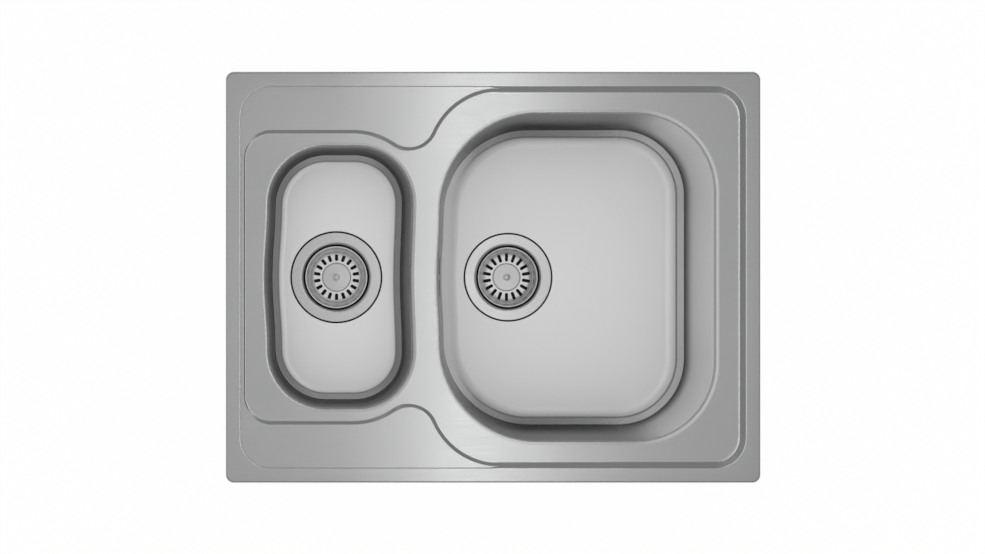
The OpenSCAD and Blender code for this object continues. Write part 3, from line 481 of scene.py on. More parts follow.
GRAIN = relief_group("brushed grain", {"Lines": 900.0, "Stretch": 40.0}, drawn_along_x,
                     2.0, 9.0, 3.0)
TURNED = relief_group("turned rings", {"Lines": 900.0}, drawn_round_z, 2.0, 30.0, 2.0)
SPECKS = relief_group("specks", {"Fineness": 1200.0}, not_drawn, 4.0, 25.0, 2.0)
BOWL_ZONES, INWARD = bowl_zones_group(), inward_group()
# The part of a relief's mask over which a finish drifts from its dark to its light values
DRIFT = (0.35, 0.65)


# Finishes

def make_finish(name, dark, light, rough, metallic, group, depth, centre=(0, 0, 0), **values):
    """A finish whose colour and roughness drift between two values, with a fine relief."""
    finish = bpy.data.materials.new(name)
    finish.use_nodes = True
    tree = finish.node_tree
    shader = tree.nodes["Principled BSDF"]
    shader.inputs["Metallic"].default_value = metallic
    relief = use_group(tree, group, {"Vector": centred(tree, centre), **values})
    drift = map_range(tree, relief["Mask"], *DRIFT, 0, 1)
    colour = tree.nodes.new("ShaderNodeMix")
    colour.data_type = "RGBA"
    colour.inputs["A"].default_value = (*dark, 1)
    colour.inputs["B"].default_value = (*light, 1)
    tree.links.new(drift, colour.inputs["Factor"])
    tree.links.new(colour.outputs["Result"], shader.inputs["Base Color"])
    tree.links.new(map_range(tree, drift, 0, 1, *rough), shader.inputs["Roughness"])
    bump = tree.nodes.new("ShaderNodeBump")
    bump.inputs["Strength"].default_value = 1.0
    bump.inputs["Distance"].default_value = depth * MM
    tree.links.new(relief["Height"], bump.inputs["Height"])
    tree.links.new(bump.outputs[0], shader.inputs["Normal"])
    return finish


def set_constant(finish, name, value):
    """Sets a socket of the shader to a constant."""
    finish.node_tree.nodes["Principled BSDF"].inputs[name].default_value = value


def mix_in(tree, name, mask, value):
    """Mixes a number or a colour into what feeds a socket of the shader, by a mask."""
    target = tree.nodes["Principled BSDF"].inputs[name]
    mix = tree.nodes.new("ShaderNodeMix")
    mix.data_type = "FLOAT" if isinstance(value, float) else "RGBA"
    mix.inputs["B"].default_value = value if isinstance(value, float) else (*value, 1)
    if target.links:
        tree.links.new(target.links[0].from_socket, mix.inputs["A"])
    else:
        mix.inputs["A"].default_value = target.default_value
    tree.links.new(mask, mix.inputs["Factor"])
    tree.links.new(mix.outputs["Result"], target)


def lay_over(finish, mask, *looks):
    """Gives what a mask covers another colour and, if given, another roughness and metal."""
    for name, value in zip(("Base Color", "Roughness", "Metallic"), looks):
        mix_in(finish.node_tree, name, mask, value)


def lay_bowl_zones(finish, places, looks):
    """Gives the zones of a bowl their colour, roughness and metal."""
    tree = finish.node_tree
    zones = use_group(tree, BOWL_ZONES, {"Vector": centred(tree), **places})
    for zone, values in looks.items():
        lay_over(finish, zones[zone], *values)


def paint_shade_inside(finish, centre, *looks):
    """Paints shade on the faces of a finish that look inwards or straight up."""
    tree = finish.node_tree
    normal = tree.nodes.new("ShaderNodeTexCoord").outputs["Normal"]
    inward = use_group(tree, INWARD, {"Vector": centred(tree, centre), "Normal": normal})
    lay_over(finish, inward["Mask"], *looks)


def paint_shade_below(finish, height, *looks):
    """Paints shade on a finish below a height."""
    tree = finish.node_tree
    z = axes(tree, centred(tree))[2]
    lay_over(finish, map_range(tree, z, (height - SHADE_FADE) * MM, height * MM, 1, 0), *looks)


def grey(value, tint=0.0):
    """A grey, tinted from red to blue."""
    return (value - tint, value, value + tint)


STEEL_TINT = 0.004
sheet_steel = make_finish("satin sheet steel", grey(0.64, STEEL_TINT), grey(0.685, STEEL_TINT),
                          (0.22, 0.27), 1.0, GRAIN, 0.001, Lines=1500.0, Stretch=60.0)
# Painted shade: the bowls' walls are painted darker than the sheet, and the half bowl's darker
# than the main bowl's
bowl_steel = {
    b: make_finish(f"bowl steel with painted light and shade {b}", grey(shade, STEEL_TINT),
                   grey(shade + 0.06, STEEL_TINT), (0.14, 0.19), 1.0,
                   GRAIN, 0.0006, Lines=1500.0, Stretch=25.0)
    for b, shade in (("main", 0.36), ("half", 0.2))}
# Painted light and shade on the bowls: the right side painted white with less metal, the foot
# painted near black, the floor painted near white with less metal, and a painted dark line at the
# crease; the floor's greater roughness is its own grain, and the rolled edge gets a look near the
# sheet's
BOWL_LOOKS = {"Painted Light Right Side": (grey(1.0), 0.3, 0.6), "Foot": (grey(0.03),),
              "Floor": (grey(0.98, 0.002), 0.36, 0.44), "Crease": (grey(0.4),),
              "Rolled Edge": (grey(0.6, STEEL_TINT), 0.25)}
# Painted shade: a darker sheen that dims the bowls' walls at a glancing angle
BOWL_DIMMED_SHEEN = (*grey(0.55), 1)
# Each bowl's share of the floor's painted lighter look in its steep band, and where along X, in
# metres, its left end, also painted lighter, stops and its right side, painted lighter still,
# starts; the half bowl has neither of the two
for b, band, left_end, painted_light_start in (("main", 0.4, -0.01, 0.14), ("half", 0.62, -1.0, 1.0)):
    top, _, low, _ = BOWLS[b]["band"]
    lay_bowl_zones(bowl_steel[b],
                   {"Floor Height": WASTES[b][2] * MM, "Foot Height": top * MM,
                    "Crease": low / top, "Band": band, "Left End": left_end,
                    "Painted Light Start": painted_light_start}, BOWL_LOOKS)
    set_constant(bowl_steel[b], "Specular Tint", BOWL_DIMMED_SHEEN)
waste_steel = {b: make_finish(f"turned steel {b}", grey(0.7), grey(0.76), (0.26, 0.32), 1.0,
                              TURNED, 0.003, centre=c, Lines=1100.0) for b, c in WASTES.items()}
disc_steel = {b: make_finish(f"turned disc steel {b}", grey(0.72), grey(0.8), (0.3, 0.38), 1.0,
                             TURNED, 0.006, centre=c, Lines=700.0) for b, c in WASTES.items()}
basket_steel = make_finish("polished basket steel", grey(0.88), grey(0.94), (0.3, 0.38), 0.72,
                           SPECKS, 0.001, Fineness=900.0)
zinc = make_finish("zinc plate", (0.52, 0.53, 0.5), (0.66, 0.67, 0.64), (0.3, 0.45), 1.0,
                   SPECKS, 0.01, Fineness=700.0)
black_rubber = make_finish("black rubber", grey(0.01), grey(0.018), (0.6, 0.8), 0.0,
                           SPECKS, 0.03, Fineness=1500.0)
set_constant(black_rubber, "Specular IOR Level", 0.2)
pad_rubber = make_finish("pad rubber", grey(0.05), grey(0.08), (0.8, 0.95), 0.0,
                         SPECKS, 0.12, Fineness=500.0)
PALE_PLASTIC = ((0.74, 0.74, 0.71), (0.8, 0.8, 0.78), (0.32, 0.42), 0.0, SPECKS, 0.01)
body_plastic = {b: make_finish(f"white body plastic {b}", *PALE_PLASTIC, Fineness=1200.0)
                for b in WASTES}
white_plastic = make_finish("white plastic", *PALE_PLASTIC, Fineness=1200.0)
grey_plastic = make_finish("grey plastic", grey(0.17), grey(0.22), (0.4, 0.5), 0.0,
                           SPECKS, 0.01, Fineness=1200.0)
# The cups get painted shade below their baskets: its top, measured from the flange's, and the
# height over which it fades
SHADE_TOP, SHADE_FADE = -25.6, 0.5
for b, waste in WASTES.items():
    # Painted shade: the cups near black and rougher below their baskets
    paint_shade_below(waste_steel[b], waste[2] + SHADE_TOP, grey(0.01), 0.7)
    # Painted shade: the bodies' inward and upward faces a near black mirror
    paint_shade_inside(body_plastic[b], waste, grey(0.008), 0.6, 1.0)


# The deck and the bowls

# The turned-down edge: its radius, its lower end's height and its corners' radius
RIM_EDGE, RIM_LOW, RIM_CORNER = 2.6, 0.3, 10
# The step from the rim: its inset and its corners' radius at its top
STEP_INSET, STEP_CORNER = 16.6, 38.9
# The steps: how far in or out a ring lies, its height, and how far in it lies where they join
RIM_STEP = ((0, RIM_Z, 0), (0.5, 4.46, 0.5), (1.0, 4.42, 1.1), (1.2, 4.36, 1.5),
            (1.4, 4.2, 1.9), (1.8, 3.8, 2.6), (2.1, 3.55, 3.3), (2.4, LEDGE_Z, 3.9))
LEDGE_STEP = ((2.1, LEDGE_Z, 4.3), (1.8, 3.42, 5.0), (1.2, 3.1, 5.7), (0, 2.3, 6.5),
              (-1.2, 1.5, 7.3), (-1.8, 1.16, 8.1), (-2.1, 1.08, 8.7), (-2.6, 1.04, 9.8),
              (-3.3, WET_Z, 11.0))
# The joined slope: its start, end and whole width, and the fall of its shoulders
JOINED_SLOPE, SHOULDER_TILT = (1.5, 8.6, 11.0), 0.077
# The length over which the steps run into the joined slope
JOIN_LENGTH = 14


def joined_height(inset):
    """The height of the slope that the two steps form together, with a flatter shoulder at
    each end."""
    start, end, width = JOINED_SLOPE
    top, bottom = RIM_Z - start * SHOULDER_TILT, WET_Z + (width - end) * SHOULDER_TILT
    if inset < start:
        return RIM_Z - inset * SHOULDER_TILT
    if inset > end:
        return bottom - (inset - end) * SHOULDER_TILT
    return top + (bottom - top) * (inset - start) / (end - start)


def join_steps(point, inset):
    """Moves a point of the steps to its place on the one slope that they form round the
    main bowl."""
    spot = point.co / MM
    flat_spot = Vector((spot.x, spot.y))
    straight_x, straight_y = HALF_LENGTH - STEP_INSET - inset, HALF_WIDTH - STEP_INSET - inset
    middle = Vector((HALF_LENGTH - STEP_INSET - STEP_CORNER,
                     math.copysign(HALF_WIDTH - STEP_INSET - STEP_CORNER, spot.y)))
    if spot.x < middle.x:
        target = Vector((spot.x, math.copysign(straight_y, spot.y)))
    elif abs(spot.y) < abs(middle.y):
        target = Vector((straight_x, spot.y))
    else:
        target = middle + (flat_spot - middle).normalized() * (STEP_CORNER - inset)
    share = eased((spot.x - RIGHT_SWELL.x + JOIN_LENGTH) / JOIN_LENGTH)
    point.co = spot.lerp(Vector((*target, joined_height(inset))), share) * MM


def make_deck():
    """The pressed sheet with its turned-down edge, its steps and its holes for the bowls."""
    sheet = bmesh.new()
    turns = [math.pi / 2 * k / 5 for k in range(1, 6)]
    insets = [RIM_EDGE * (1 - math.cos(a)) for a in turns]
    edge = ([rim_outline(0, RIM_CORNER, 12)] * 2
            + [rim_outline(d, RIM_CORNER - d, 12) for d in insets])
    heights = [RIM_LOW, RIM_Z - RIM_EDGE] + [RIM_Z - RIM_EDGE * (1 - math.sin(a)) for a in turns]
    rim = [ring(sheet, o, z) for o, z in zip(edge, heights)]
    bridge(sheet, rim)
    stops = [p.x for p in ledge_curve(0)]
    step = [ring(sheet, rim_outline(STEP_INSET + d, STEP_CORNER - d, 16, stops), z)
            for d, z, _ in RIM_STEP]
    bridge(sheet, step)
    ledge = [ring(sheet, ledge_outline(out), z) for out, z, _ in LEDGE_STEP]
    bridge(sheet, ledge)
    for edges, (_, _, inset) in zip(step + ledge, RIM_STEP + LEDGE_STEP):
        for point in {v for e in edges for v in e.verts}:
            join_steps(point, inset)
    flat(sheet, rim[-1], step[0])
    flat(sheet, step[-1], ledge[0])
    holes = [ring(sheet, bowl_outline(b, 0, -b["roll"] - SEAM), WET_Z) for b in BOWLS.values()]
    flat(sheet, ledge[-1], *holes)
    close_sheet(sheet)
    to_piece(sheet, "deck_sheet", "sink", sheet_steel, ["deck"])


# The shares of the shoulder's width that its rings lie at, and the steps of the rolled edge
SEAM_SHARES, ROLL_STEPS = (0, 0.3, 0.65), 10
# The softness of the steep band's two ends, and where the curve below it starts
BAND_ENDS, CURVE_START, CURVE_STEPS = (1.4, 0.8), 0.14, 8
# The pocket that a waste's flange and seal lie in, as radii and heights
FLANGE_POCKET = [(58.4, 0), (58.15, -0.15), (58.05, -0.5), (58.05, -1.8), (45.0, -1.8)]


def bowl_foot(bowl):
    """The foot's insets and heights: the wall's end, a steep band and a curve that runs into
    the floor."""
    top, band, low, reach = bowl["band"]
    on_curve = (band + 1, low * (1 - 2 / (reach - band)))
    steep = rounded([(0, bowl["foot"]), (0, top, BAND_ENDS[0]), (band, low, BAND_ENDS[1]),
                     on_curve], 4)[:-1]
    shares = (CURVE_START + (1 - CURVE_START) * k / CURVE_STEPS for k in range(CURVE_STEPS + 1))
    return steep + [Vector((band + (reach - band) * s, low * (1 - s) ** 2)) for s in shares]


def make_bowl(name):
    """A drawn bowl with a shoulder, a rolled edge, drafted walls and a pocket for its waste."""
    bowl = BOWLS[name]
    x, y, floor = WASTES[name]
    sheet = bmesh.new()
    roll = bowl["roll"]
    low = WET_Z - SEAM_DROP - roll
    rings = [ring(sheet, bowl_outline(bowl, 0, -roll - SEAM * (1 - s)), WET_Z - SEAM_DROP * s * s)
             for s in SEAM_SHARES]
    rings += [ring(sheet, bowl_outline(bowl, 0, roll * math.sin(a) - roll),
                   low + roll * math.cos(a))
              for a in (math.pi / 2 * k / ROLL_STEPS for k in range(ROLL_STEPS + 1))]
    rings += [ring(sheet, bowl_outline(bowl, 1, spot.x), floor + spot.y)
              for spot in bowl_foot(bowl)]
    bridge(sheet, rings)
    mouth = ring(sheet, circle((x, y), FLANGE_POCKET[0][0], TURN_STEPS), floor)
    flat(sheet, rings[-1], mouth)
    drawn_on(sheet, mouth, (x, y), FLANGE_POCKET)
    if name == "main":
        press_overflow_pocket(sheet)
    close_sheet(sheet)
    to_piece(sheet, f"{name}_bowl_sheet", "sink", bowl_steel[name],
             [f"{name}_bowl"])


# The overflow's middle on the main bowl's left wall, and the wall's lean there
OVERFLOW = Vector((-64.35, 0.0, -50.0))
OVERFLOW_TILT = math.radians(5.16)
OVERFLOW_OUT = Vector((math.cos(OVERFLOW_TILT), 0, math.sin(OVERFLOW_TILT)))
# The round pocket: its outer radius, the width of its slope, its depth and its hole's radius
POCKET_RADIUS, POCKET_SLOPE, POCKET_DEPTH, HOLE_RADIUS = 24.4, 2.6, 1.6, 17
# The part of the wall that is cut finely for the pocket, and the size of the cuts
PATCH_SIDE, PATCH_TOP, PATCH_BOTTOM = 30, -10, -100
CUT_SIZE, CUT_COUNT = 0.8, 33
# How far out the hole's ragged edge may lie before it is drawn to the hole's radius
HOLE_MARGIN = 1.5


def press_overflow_pocket(sheet):
    """Sinks a round pocket in the main bowl's left wall and pierces its middle."""
    def reach(point):
        away = point - OVERFLOW
        return (away - OVERFLOW_OUT * away.dot(OVERFLOW_OUT)).length
    patch = near(sheet, lambda p: (p.x < 0 and abs(p.y) < PATCH_SIDE
                                   and PATCH_BOTTOM < p.z < PATCH_TOP))
    for k in range(-CUT_COUNT, CUT_COUNT + 1):
        for normal in ((0, 1, 0), (0, 0, 1)):
            patch = cut(sheet, patch, (OVERFLOW + Vector(normal) * CUT_SIZE * k) * MM, normal)
    for point in {v for f in patch for v in f.verts}:
        sunk = (point.co / MM - OVERFLOW).dot(OVERFLOW_OUT) + POCKET_DEPTH
        share = eased((POCKET_RADIUS - reach(point.co / MM)) / POCKET_SLOPE)
        point.co -= OVERFLOW_OUT * sunk * MM * share
    inside = near(sheet, lambda p: p.x < 0 and reach(p) < HOLE_RADIUS)
    bmesh.ops.delete(sheet, geom=inside, context="FACES")
    spot = OVERFLOW - OVERFLOW_OUT * POCKET_DEPTH
    for point in sheet.verts:
        away = reach(point.co / MM)
        if point.is_boundary and point.co.x < 0 and away < HOLE_RADIUS + HOLE_MARGIN:
            point.co = (spot + (point.co / MM - spot) * HOLE_RADIUS / away) * MM


make_deck()
for bowl_name in BOWLS:
    make_bowl(bowl_name)


# The wastes: steel cup, its seal, strainer basket and the basket's disc, as radii and heights
# from the flange's top, with the softness of corners

FLANGE_PROFILE = [(56.2, -0.8), (56.2, 0, 0.4), (43.9, 0, 1.4), (41.8, -0.8, 0.8), (41.2, -3, 0.8),
                  (40.9, -6.5, 1), (40.6, -30, 1), (38.5, -33.5, 1.5), (33, -35, 1),
                  (31, -36.5, 0.5), (30.5, -41, 0.6), (29.2, -42, 0.5), (27.5, -42), (13, -42),
                  (11, -42, 1), (8, -37, 0.6), (3.2, -37)]
FLANGE_SHEET = 0.85
# The cup's open bottom: a plane just over it, its two radii and half the width of its four bars
CUP_LOW, OPEN_FROM, OPEN_TO, HALF_BAR = -41.9, 13, 27.5, 4
SEAL_PROFILE = [(45.4, -1.75), (58.0, -1.75), (58.0, -0.6), (56.4, -0.9), (45.4, -0.9),
                (45.4, -1.75)]
BASKET_FLOOR, BASKET_SHEET = -24.5, 0.65
# The slots: SLOT_START and SLOT_END are their ends' distances from the basket's axis
SLOT_COUNT, SLOT_WIDTH, SLOT_START, SLOT_TOP = 18, 4.1, 20.8, BASKET_FLOOR + 4.5
SLOT_END = {"main": 31.2, "half": 29.0}
STEPS_BY_SLOT = 8
BASKET_PROFILE = [(39.3, -5.0), (39.3, -3.2, 0.8), (37.5, -3.2, 0.8), (37.0, -5.4, 0.6),
                  (36.3, -6.6, 0.8), (36.2, -9, 1), (35.2, -12.5, 1.5), (34.7, SLOT_TOP),
                  (33.6, -20.3, 1.5), (31.6, -23.6, 2), (28, BASKET_FLOOR, 2),
                  (20, BASKET_FLOOR), (4.5, BASKET_FLOOR)]
# The disc's heights are from the basket's floor
DISC_PROFILE = [(0, 2.4), (2.4, 2.25, 1.2), (4.6, 1.68, 1.2), (6.4, 1.6, 0.8), (17.4, 1.4, 0.8),
                (18.5, 0.7, 0.5), (18.6, 0), (4.3, 0), (4.3, -2.1), (0, -2.1)]


def body_of(node):
    """The body that a CAD node belongs to."""
    bodies = frame["record"]["behaviour"]["bodies"]
    return next(b for b, nodes in bodies.items() if node in nodes)


def direction(degrees):
    """The level direction at an angle."""
    return Vector((math.cos(math.radians(degrees)), math.sin(math.radians(degrees)), 0))


def make_flange(b):
    """The steel cup with its brushed flange, open at the bottom between four bars."""
    x, y, z = WASTES[b]
    sheet = turned(rounded(FLANGE_PROFILE), (x, y, z))
    low = near(sheet, lambda p: p.z < z + CUP_LOW)
    for turn in (45, 135):
        for side in (-HALF_BAR, HALF_BAR):
            point = Vector((x, y, z)) + direction(turn) * side
            low = cut(sheet, low, point * MM, direction(turn))

    def open_water(p):
        out = Vector((p.x - x, p.y - y))
        off_bars = min(abs(out.x + out.y), abs(out.x - out.y)) / math.sqrt(2)
        return p.z < z + CUP_LOW and OPEN_FROM < out.length < OPEN_TO and off_bars > HALF_BAR
    bmesh.ops.delete(sheet, geom=near(sheet, open_water), context="FACES")
    close_sheet(sheet, FLANGE_SHEET)
    to_piece(sheet, f"{b}_flange_turned", "sink", waste_steel[b], [f"{b}_flange"])


def make_flange_seal(b):
    """The seal's edge shows as a thin black line round the cup."""
    sheet = turned(SEAL_PROFILE, WASTES[b])
    bmesh.ops.recalc_face_normals(sheet, faces=sheet.faces)
    to_piece(sheet, f"{b}_flange_seal_ring", "sink", black_rubber,
             [f"{b}_flange_seal"])


def make_basket(b):
    """The pressed basket, with slots that have a round inner end."""
    sheet = turned(rounded(BASKET_PROFILE), WASTES[b], STEPS_BY_SLOT * SLOT_COUNT)
    middle = Vector(WASTES[b])
    half = SLOT_WIDTH / 2
    for k in range(SLOT_COUNT):
        along = direction(90 + 360 * k / SLOT_COUNT)
        across = Vector((-along.y, along.x, 0))

        def along_slot(p, room=0.0):
            out = p - middle
            return (abs(out.dot(across)) < half + room
                    and SLOT_START - room < out.dot(along) < SLOT_END[b] + room
                    and out.z < SLOT_TOP)
        faces = near(sheet, lambda p: along_slot(p, 1.5))
        for side in (-1, 1):
            faces = cut(sheet, faces, (middle + across * half * side) * MM, across)
        faces = cut(sheet, faces, (middle + along * SLOT_END[b]) * MM, along)
        end = middle + along * (SLOT_START + half)
        # Four chords cut the slot's inner end round
        chords = [-along * math.cos(a) + across * math.sin(a)
                  for a in (math.radians(d) for d in (-60, -20, 20, 60))]
        for chord in chords:
            faces = cut(sheet, faces, (end + chord * half) * MM, chord)
        open_faces = near(sheet, lambda p: (along_slot(p)
                                            and all((p - end).dot(c) < half for c in chords)))
        bmesh.ops.delete(sheet, geom=open_faces, context="FACES")
    close_sheet(sheet, BASKET_SHEET)
    to_piece(sheet, f"{b}_basket_pressed", body_of(f"{b}_basket"), basket_steel,
             [f"{b}_basket"], 50.0)


def make_basket_disc(b):
    """The raised disc with its boss, and the short neck below it."""
    profile = [(r, BASKET_FLOOR + z, *soft) for r, z, *soft in DISC_PROFILE]
    sheet = turned(rounded(profile), WASTES[b], 96)
    bmesh.ops.recalc_face_normals(sheet, faces=sheet.faces)
    to_piece(sheet, f"{b}_disc_turned", body_of(f"{b}_basket_disc"), disc_steel[b],
             [f"{b}_basket_disc"])


# The ribbed overflow hose, on the same route as its solid: down beside the wall from the
# housing's spigot, round one bend and level to the main waste's inlet

SPIGOT_BEHIND, SPIGOT_BELOW = 18, 27
INLET_BELOW, INLET_BESIDE = 24, 63.5
CUFF = 15.0
HOSE_RIBS, RIB_STEPS, HOSE_SIDES = 25, 8, 40
HOSE_RADIUS, RIB_HEIGHT, HOSE_WALL = 12.65, 0.8, 1.8
# The part of the hose that tells which way its faces look: its middle and its reach
TRIAL_AT, TRIAL_REACH = 20, 16
TILT_SIN, TILT_COS, TILT_TAN = (f(OVERFLOW_TILT) for f in (math.sin, math.cos, math.tan))
HOSE_TOP = OVERFLOW + Vector((-SPIGOT_BEHIND * TILT_COS + SPIGOT_BELOW * TILT_SIN, 0,
                              -SPIGOT_BEHIND * TILT_SIN - SPIGOT_BELOW * TILT_COS))
HOSE_LEVEL = WASTES["main"][2] - INLET_BELOW
HOSE_END = WASTES["main"][0] - INLET_BESIDE
HOSE_TURN = math.pi / 2 - OVERFLOW_TILT
HOSE_BEND = ((HOSE_END - HOSE_TOP.x - (HOSE_TOP.z - HOSE_LEVEL) * TILT_TAN)
             / (TILT_COS - (1 - TILT_SIN) * TILT_TAN))
HOSE_DROP = (HOSE_TOP.z - HOSE_LEVEL - HOSE_BEND * (1 - TILT_SIN)) / TILT_COS
HOSE_LENGTH = HOSE_DROP + HOSE_BEND * HOSE_TURN + CUFF


def hose_at(s):
    """The hose's middle and heading at a distance along it."""
    down = Vector((TILT_SIN, 0, -TILT_COS))
    turned_by = min(max((s - HOSE_DROP) / HOSE_BEND, 0), HOSE_TURN)
    heading = turned_by - HOSE_TURN
    spot = HOSE_TOP + down * min(s, HOSE_DROP)
    spot += Vector((math.sin(heading) + math.sin(HOSE_TURN), 0,
                    math.cos(HOSE_TURN) - math.cos(heading))) * HOSE_BEND
    past = max(s - HOSE_DROP - HOSE_BEND * HOSE_TURN, 0)
    return spot + Vector((past, 0, 0)), heading


def make_hose():
    """The hose with its ribs between two smooth cuffs."""
    sheet = bmesh.new()
    ribbed, count = HOSE_LENGTH - 2 * CUFF - 2, HOSE_RIBS * RIB_STEPS
    stations = [(0, 0), (CUFF / 2, 0), (CUFF, 0)]
    stations += [(CUFF + 1 + ribbed * k / count,
                  math.sin(2 * math.pi * k / RIB_STEPS) * RIB_HEIGHT) for k in range(count + 1)]
    stations += [(HOSE_LENGTH - CUFF, 0), (HOSE_LENGTH - CUFF / 2, 0), (HOSE_LENGTH, 0)]
    turns = [2 * math.pi * k / HOSE_SIDES for k in range(HOSE_SIDES)]
    side = Vector((0, 1, 0))
    rings = []
    for s, swell in stations:
        spot, heading = hose_at(s)
        up = Vector((-math.sin(heading), 0, math.cos(heading)))
        points = [sheet.verts.new((spot + (up * math.cos(a) + side * math.sin(a))
                                   * (HOSE_RADIUS + swell)) * MM) for a in turns]
        rings.append([sheet.edges.new((points[k - 1], points[k])) for k in range(HOSE_SIDES)])
    bridge(sheet, rings)
    bmesh.ops.recalc_face_normals(sheet, faces=sheet.faces)
    middle = hose_at(TRIAL_AT)[0]
    around = near(sheet, lambda p: (p - middle).length < TRIAL_REACH)
    if sum((f.calc_center_median() / MM - middle).dot(f.normal) for f in around) < 0:
        bmesh.ops.reverse_faces(sheet, faces=sheet.faces)
    bmesh.ops.solidify(sheet, geom=sheet.faces[:], thickness=HOSE_WALL * MM)
    to_piece(sheet, "overflow_hose_ribbed", "sink", grey_plastic,
             ["overflow_hose"], 60.0)


# Everything else keeps its solid's form, with soft edges

def dress(node, finish, slot, edge):
    """Stands a merged copy of a node in its place, its edges softened by a width."""
    mesh = frame["nodes"][node].data.copy()
    mesh.name = node + "_finished"
    work = bmesh.new()
    work.from_mesh(mesh)
    bmesh.ops.remove_doubles(work, verts=work.verts, dist=1e-6)
    bmesh.ops.dissolve_limit(work, angle_limit=math.radians(0.5), verts=work.verts,
                             edges=work.edges)
    work.to_mesh(mesh)
    work.free()
    finish_mesh(mesh, node + "_finished", body_of(node), finish, [node], 30.0, edge)


for b in WASTES:
    make_flange(b)
    make_basket(b)
    make_basket_disc(b)
    dress(f"{b}_basket_stem", grey_plastic, "grey_plastic", 0.2)
    dress(f"{b}_basket_plug", black_rubber, "rubber", 0.3)
    make_flange_seal(b)
    dress(f"{b}_body_gasket", black_rubber, "rubber", 0.3)
    dress(f"{b}_waste_body", body_plastic[b], "white_plastic", 0.3)
    dress(f"{b}_centre_screw", zinc, "zinc", 0.15)
make_hose()
for side_name in ("right", "back", "left", "front"):
    dress(f"rail_{side_name}", zinc, "zinc", 0.2)
for number in range(1, 9):
    dress(f"clamp_bolt_{number}", zinc, "zinc", 0.2)
    dress(f"clamp_claw_{number}", zinc, "zinc", 0.3)
for row in (("rim_seal", black_rubber, "rubber", 0.4),
            ("main_pad", pad_rubber, "pad_rubber", 0.8),
            ("half_pads", pad_rubber, "pad_rubber", 0.8),
            ("overflow_rosette", basket_steel, "waste_steel", 0.25),
            ("overflow_screw", basket_steel, "waste_steel", 0.1),
            ("overflow_gasket", black_rubber, "rubber", 0.3),
            ("overflow_housing", white_plastic, "white_plastic", 0.3),
            ("hose_clip_upper", zinc, "zinc", 0.15),
            ("hose_clip_lower", zinc, "zinc", 0.15),
            ("inlet_cap", grey_plastic, "grey_plastic", 0.3)):
    dress(*row)


# Floor, light and air

def white_for_the_camera(tree, shader, share, in_gloss):
    """Mixes a plain white into what the camera, glass and, by a share, gloss see of a surface."""
    paths = tree.nodes.new("ShaderNodeLightPath")
    white = tree.nodes.new("ShaderNodeEmission")
    mix = tree.nodes.new("ShaderNodeMixShader")
    clear = math_node(tree, "ADD", paths.outputs["Is Camera Ray"],
                      paths.outputs["Is Transmission Ray"])
    gloss = math_node(tree, "MULTIPLY", paths.outputs["Is Glossy Ray"], in_gloss)
    seen = math_node(tree, "ADD", math_node(tree, "MULTIPLY", clear, share), gloss)
    tree.links.new(seen, mix.inputs[0])
    tree.links.new(shader.outputs[0], mix.inputs[1])
    tree.links.new(white.outputs[0], mix.inputs[2])
    return mix.outputs[0]


FLOOR_REACH, FLOOR_GAP, FLOOR_WHITE = 6.0, 0.0005, 0.98
floor_mesh = bpy.data.meshes.new("floor")
plane = bmesh.new()
bmesh.ops.create_grid(plane, x_segments=1, y_segments=1, size=FLOOR_REACH)
bmesh.ops.translate(plane, verts=plane.verts, vec=(0, 0, cad_box[0].z - FLOOR_GAP))
plane.to_mesh(floor_mesh)
plane.free()
floor_object = bpy.data.objects.new("floor", floor_mesh)
bpy.context.scene.collection.objects.link(floor_object)
floor_finish = bpy.data.materials.new("pale floor")
floor_finish.use_nodes = True
set_constant(floor_finish, "Base Color", (0.8, 0.8, 0.8, 1))
set_constant(floor_finish, "Roughness", 0.9)
floor_tree = floor_finish.node_tree
floor_seen = white_for_the_camera(floor_tree, floor_tree.nodes["Principled BSDF"],
                                  FLOOR_WHITE, FLOOR_WHITE)
floor_tree.links.new(floor_seen, floor_tree.nodes["Material Output"].inputs[0])
floor_mesh.materials.append(floor_finish)

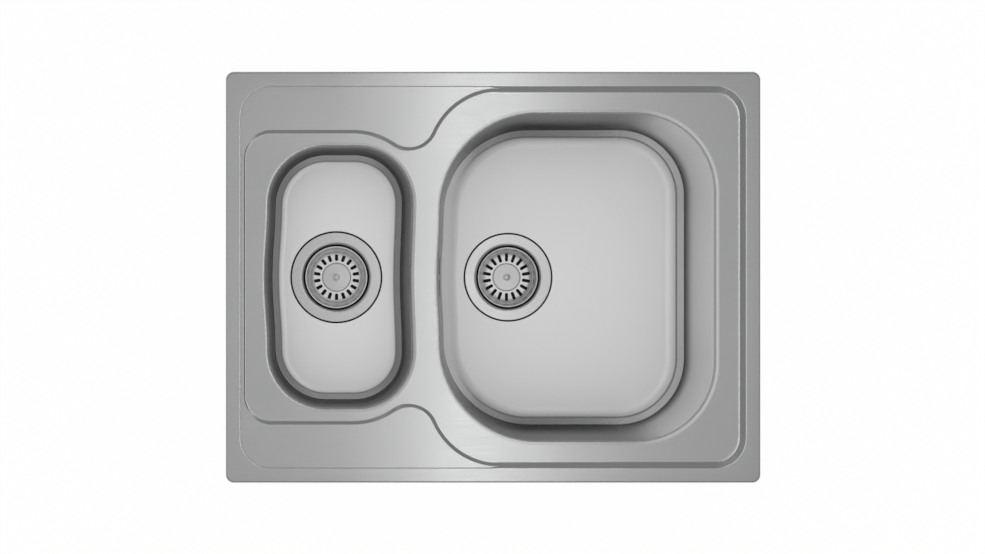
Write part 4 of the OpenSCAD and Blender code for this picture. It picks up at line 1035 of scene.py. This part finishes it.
# The air is white for the camera, even for diffuse light, and for gloss a dim grey with a bright
# strip overhead. The ranges below are parts of a direction of length 1, and LEFT_OVER is the
# share of the light that is left beside the strip and at the horizon
STRIP_LEFT, STRIP_RIGHT, STRIP_SIDE = (-0.52, -0.36), (0.2, 0.6), (0.12, 0.22)
GLOW_LEFT, GLOW_RIGHT, GLOW = (-0.5, -0.4), (-0.34, -0.2), 3.0
SKY_DARK, SKY_LIGHT, LEFT_OVER = 0.22, 0.8, 0.1
HORIZON, HORIZON_GLOW, DIFFUSE_LEVEL = (0.1, 0.36), 0.7, 0.93

air = bpy.data.worlds.new("air")
bpy.context.scene.world = air
air.use_nodes = True
tree = air.node_tree
background = tree.nodes["Background"]
background.inputs["Color"].default_value = (1, 1, 1, 1)
x, y, z = axes(tree, tree.nodes.new("ShaderNodeTexCoord").outputs["Generated"])
strip = math_node(tree, "MULTIPLY", smooth(tree, x, *STRIP_LEFT, 0, 1),
                  smooth(tree, x, *STRIP_RIGHT, 1, 0))
glow = math_node(tree, "MULTIPLY", smooth(tree, x, *GLOW_LEFT, 0, 1),
                 smooth(tree, x, *GLOW_RIGHT, GLOW, 0))
across = smooth(tree, math_node(tree, "ABSOLUTE", y), *STRIP_SIDE, 1, LEFT_OVER)
lit = math_node(tree, "MULTIPLY", math_node(tree, "ADD", strip, glow), across)
soft_sky = map_range(tree, lit, 0, 2, SKY_DARK, SKY_LIGHT)
above_edge = math_node(tree, "MULTIPLY", soft_sky, smooth(tree, z, *HORIZON, LEFT_OVER, 1.0))
gloss_level = math_node(tree, "ADD", above_edge, smooth(tree, z, *HORIZON, HORIZON_GLOW, 0))
level = tree.nodes.new("ShaderNodeMix")
level.inputs["B"].default_value = DIFFUSE_LEVEL
tree.links.new(tree.nodes.new("ShaderNodeLightPath").outputs["Is Diffuse Ray"],
               level.inputs["Factor"])
tree.links.new(gloss_level, level.inputs["A"])
tree.links.new(level.outputs["Result"], background.inputs["Strength"])
tree.links.new(white_for_the_camera(tree, background, 1.0, 0.0),
               tree.nodes["World Output"].inputs[0])

# A long panel of soft light over the main bowl, its sizes and place in metres
strip_lamp = bpy.data.lights.new("overhead strip", "AREA")
strip_lamp.shape = "RECTANGLE"
strip_lamp.size, strip_lamp.size_y = 0.16, 3.0
strip_lamp.energy = 3.65
holder = bpy.data.objects.new("overhead strip", strip_lamp)
bpy.context.scene.collection.objects.link(holder)
holder.location = (0.16, 0, 2.6)
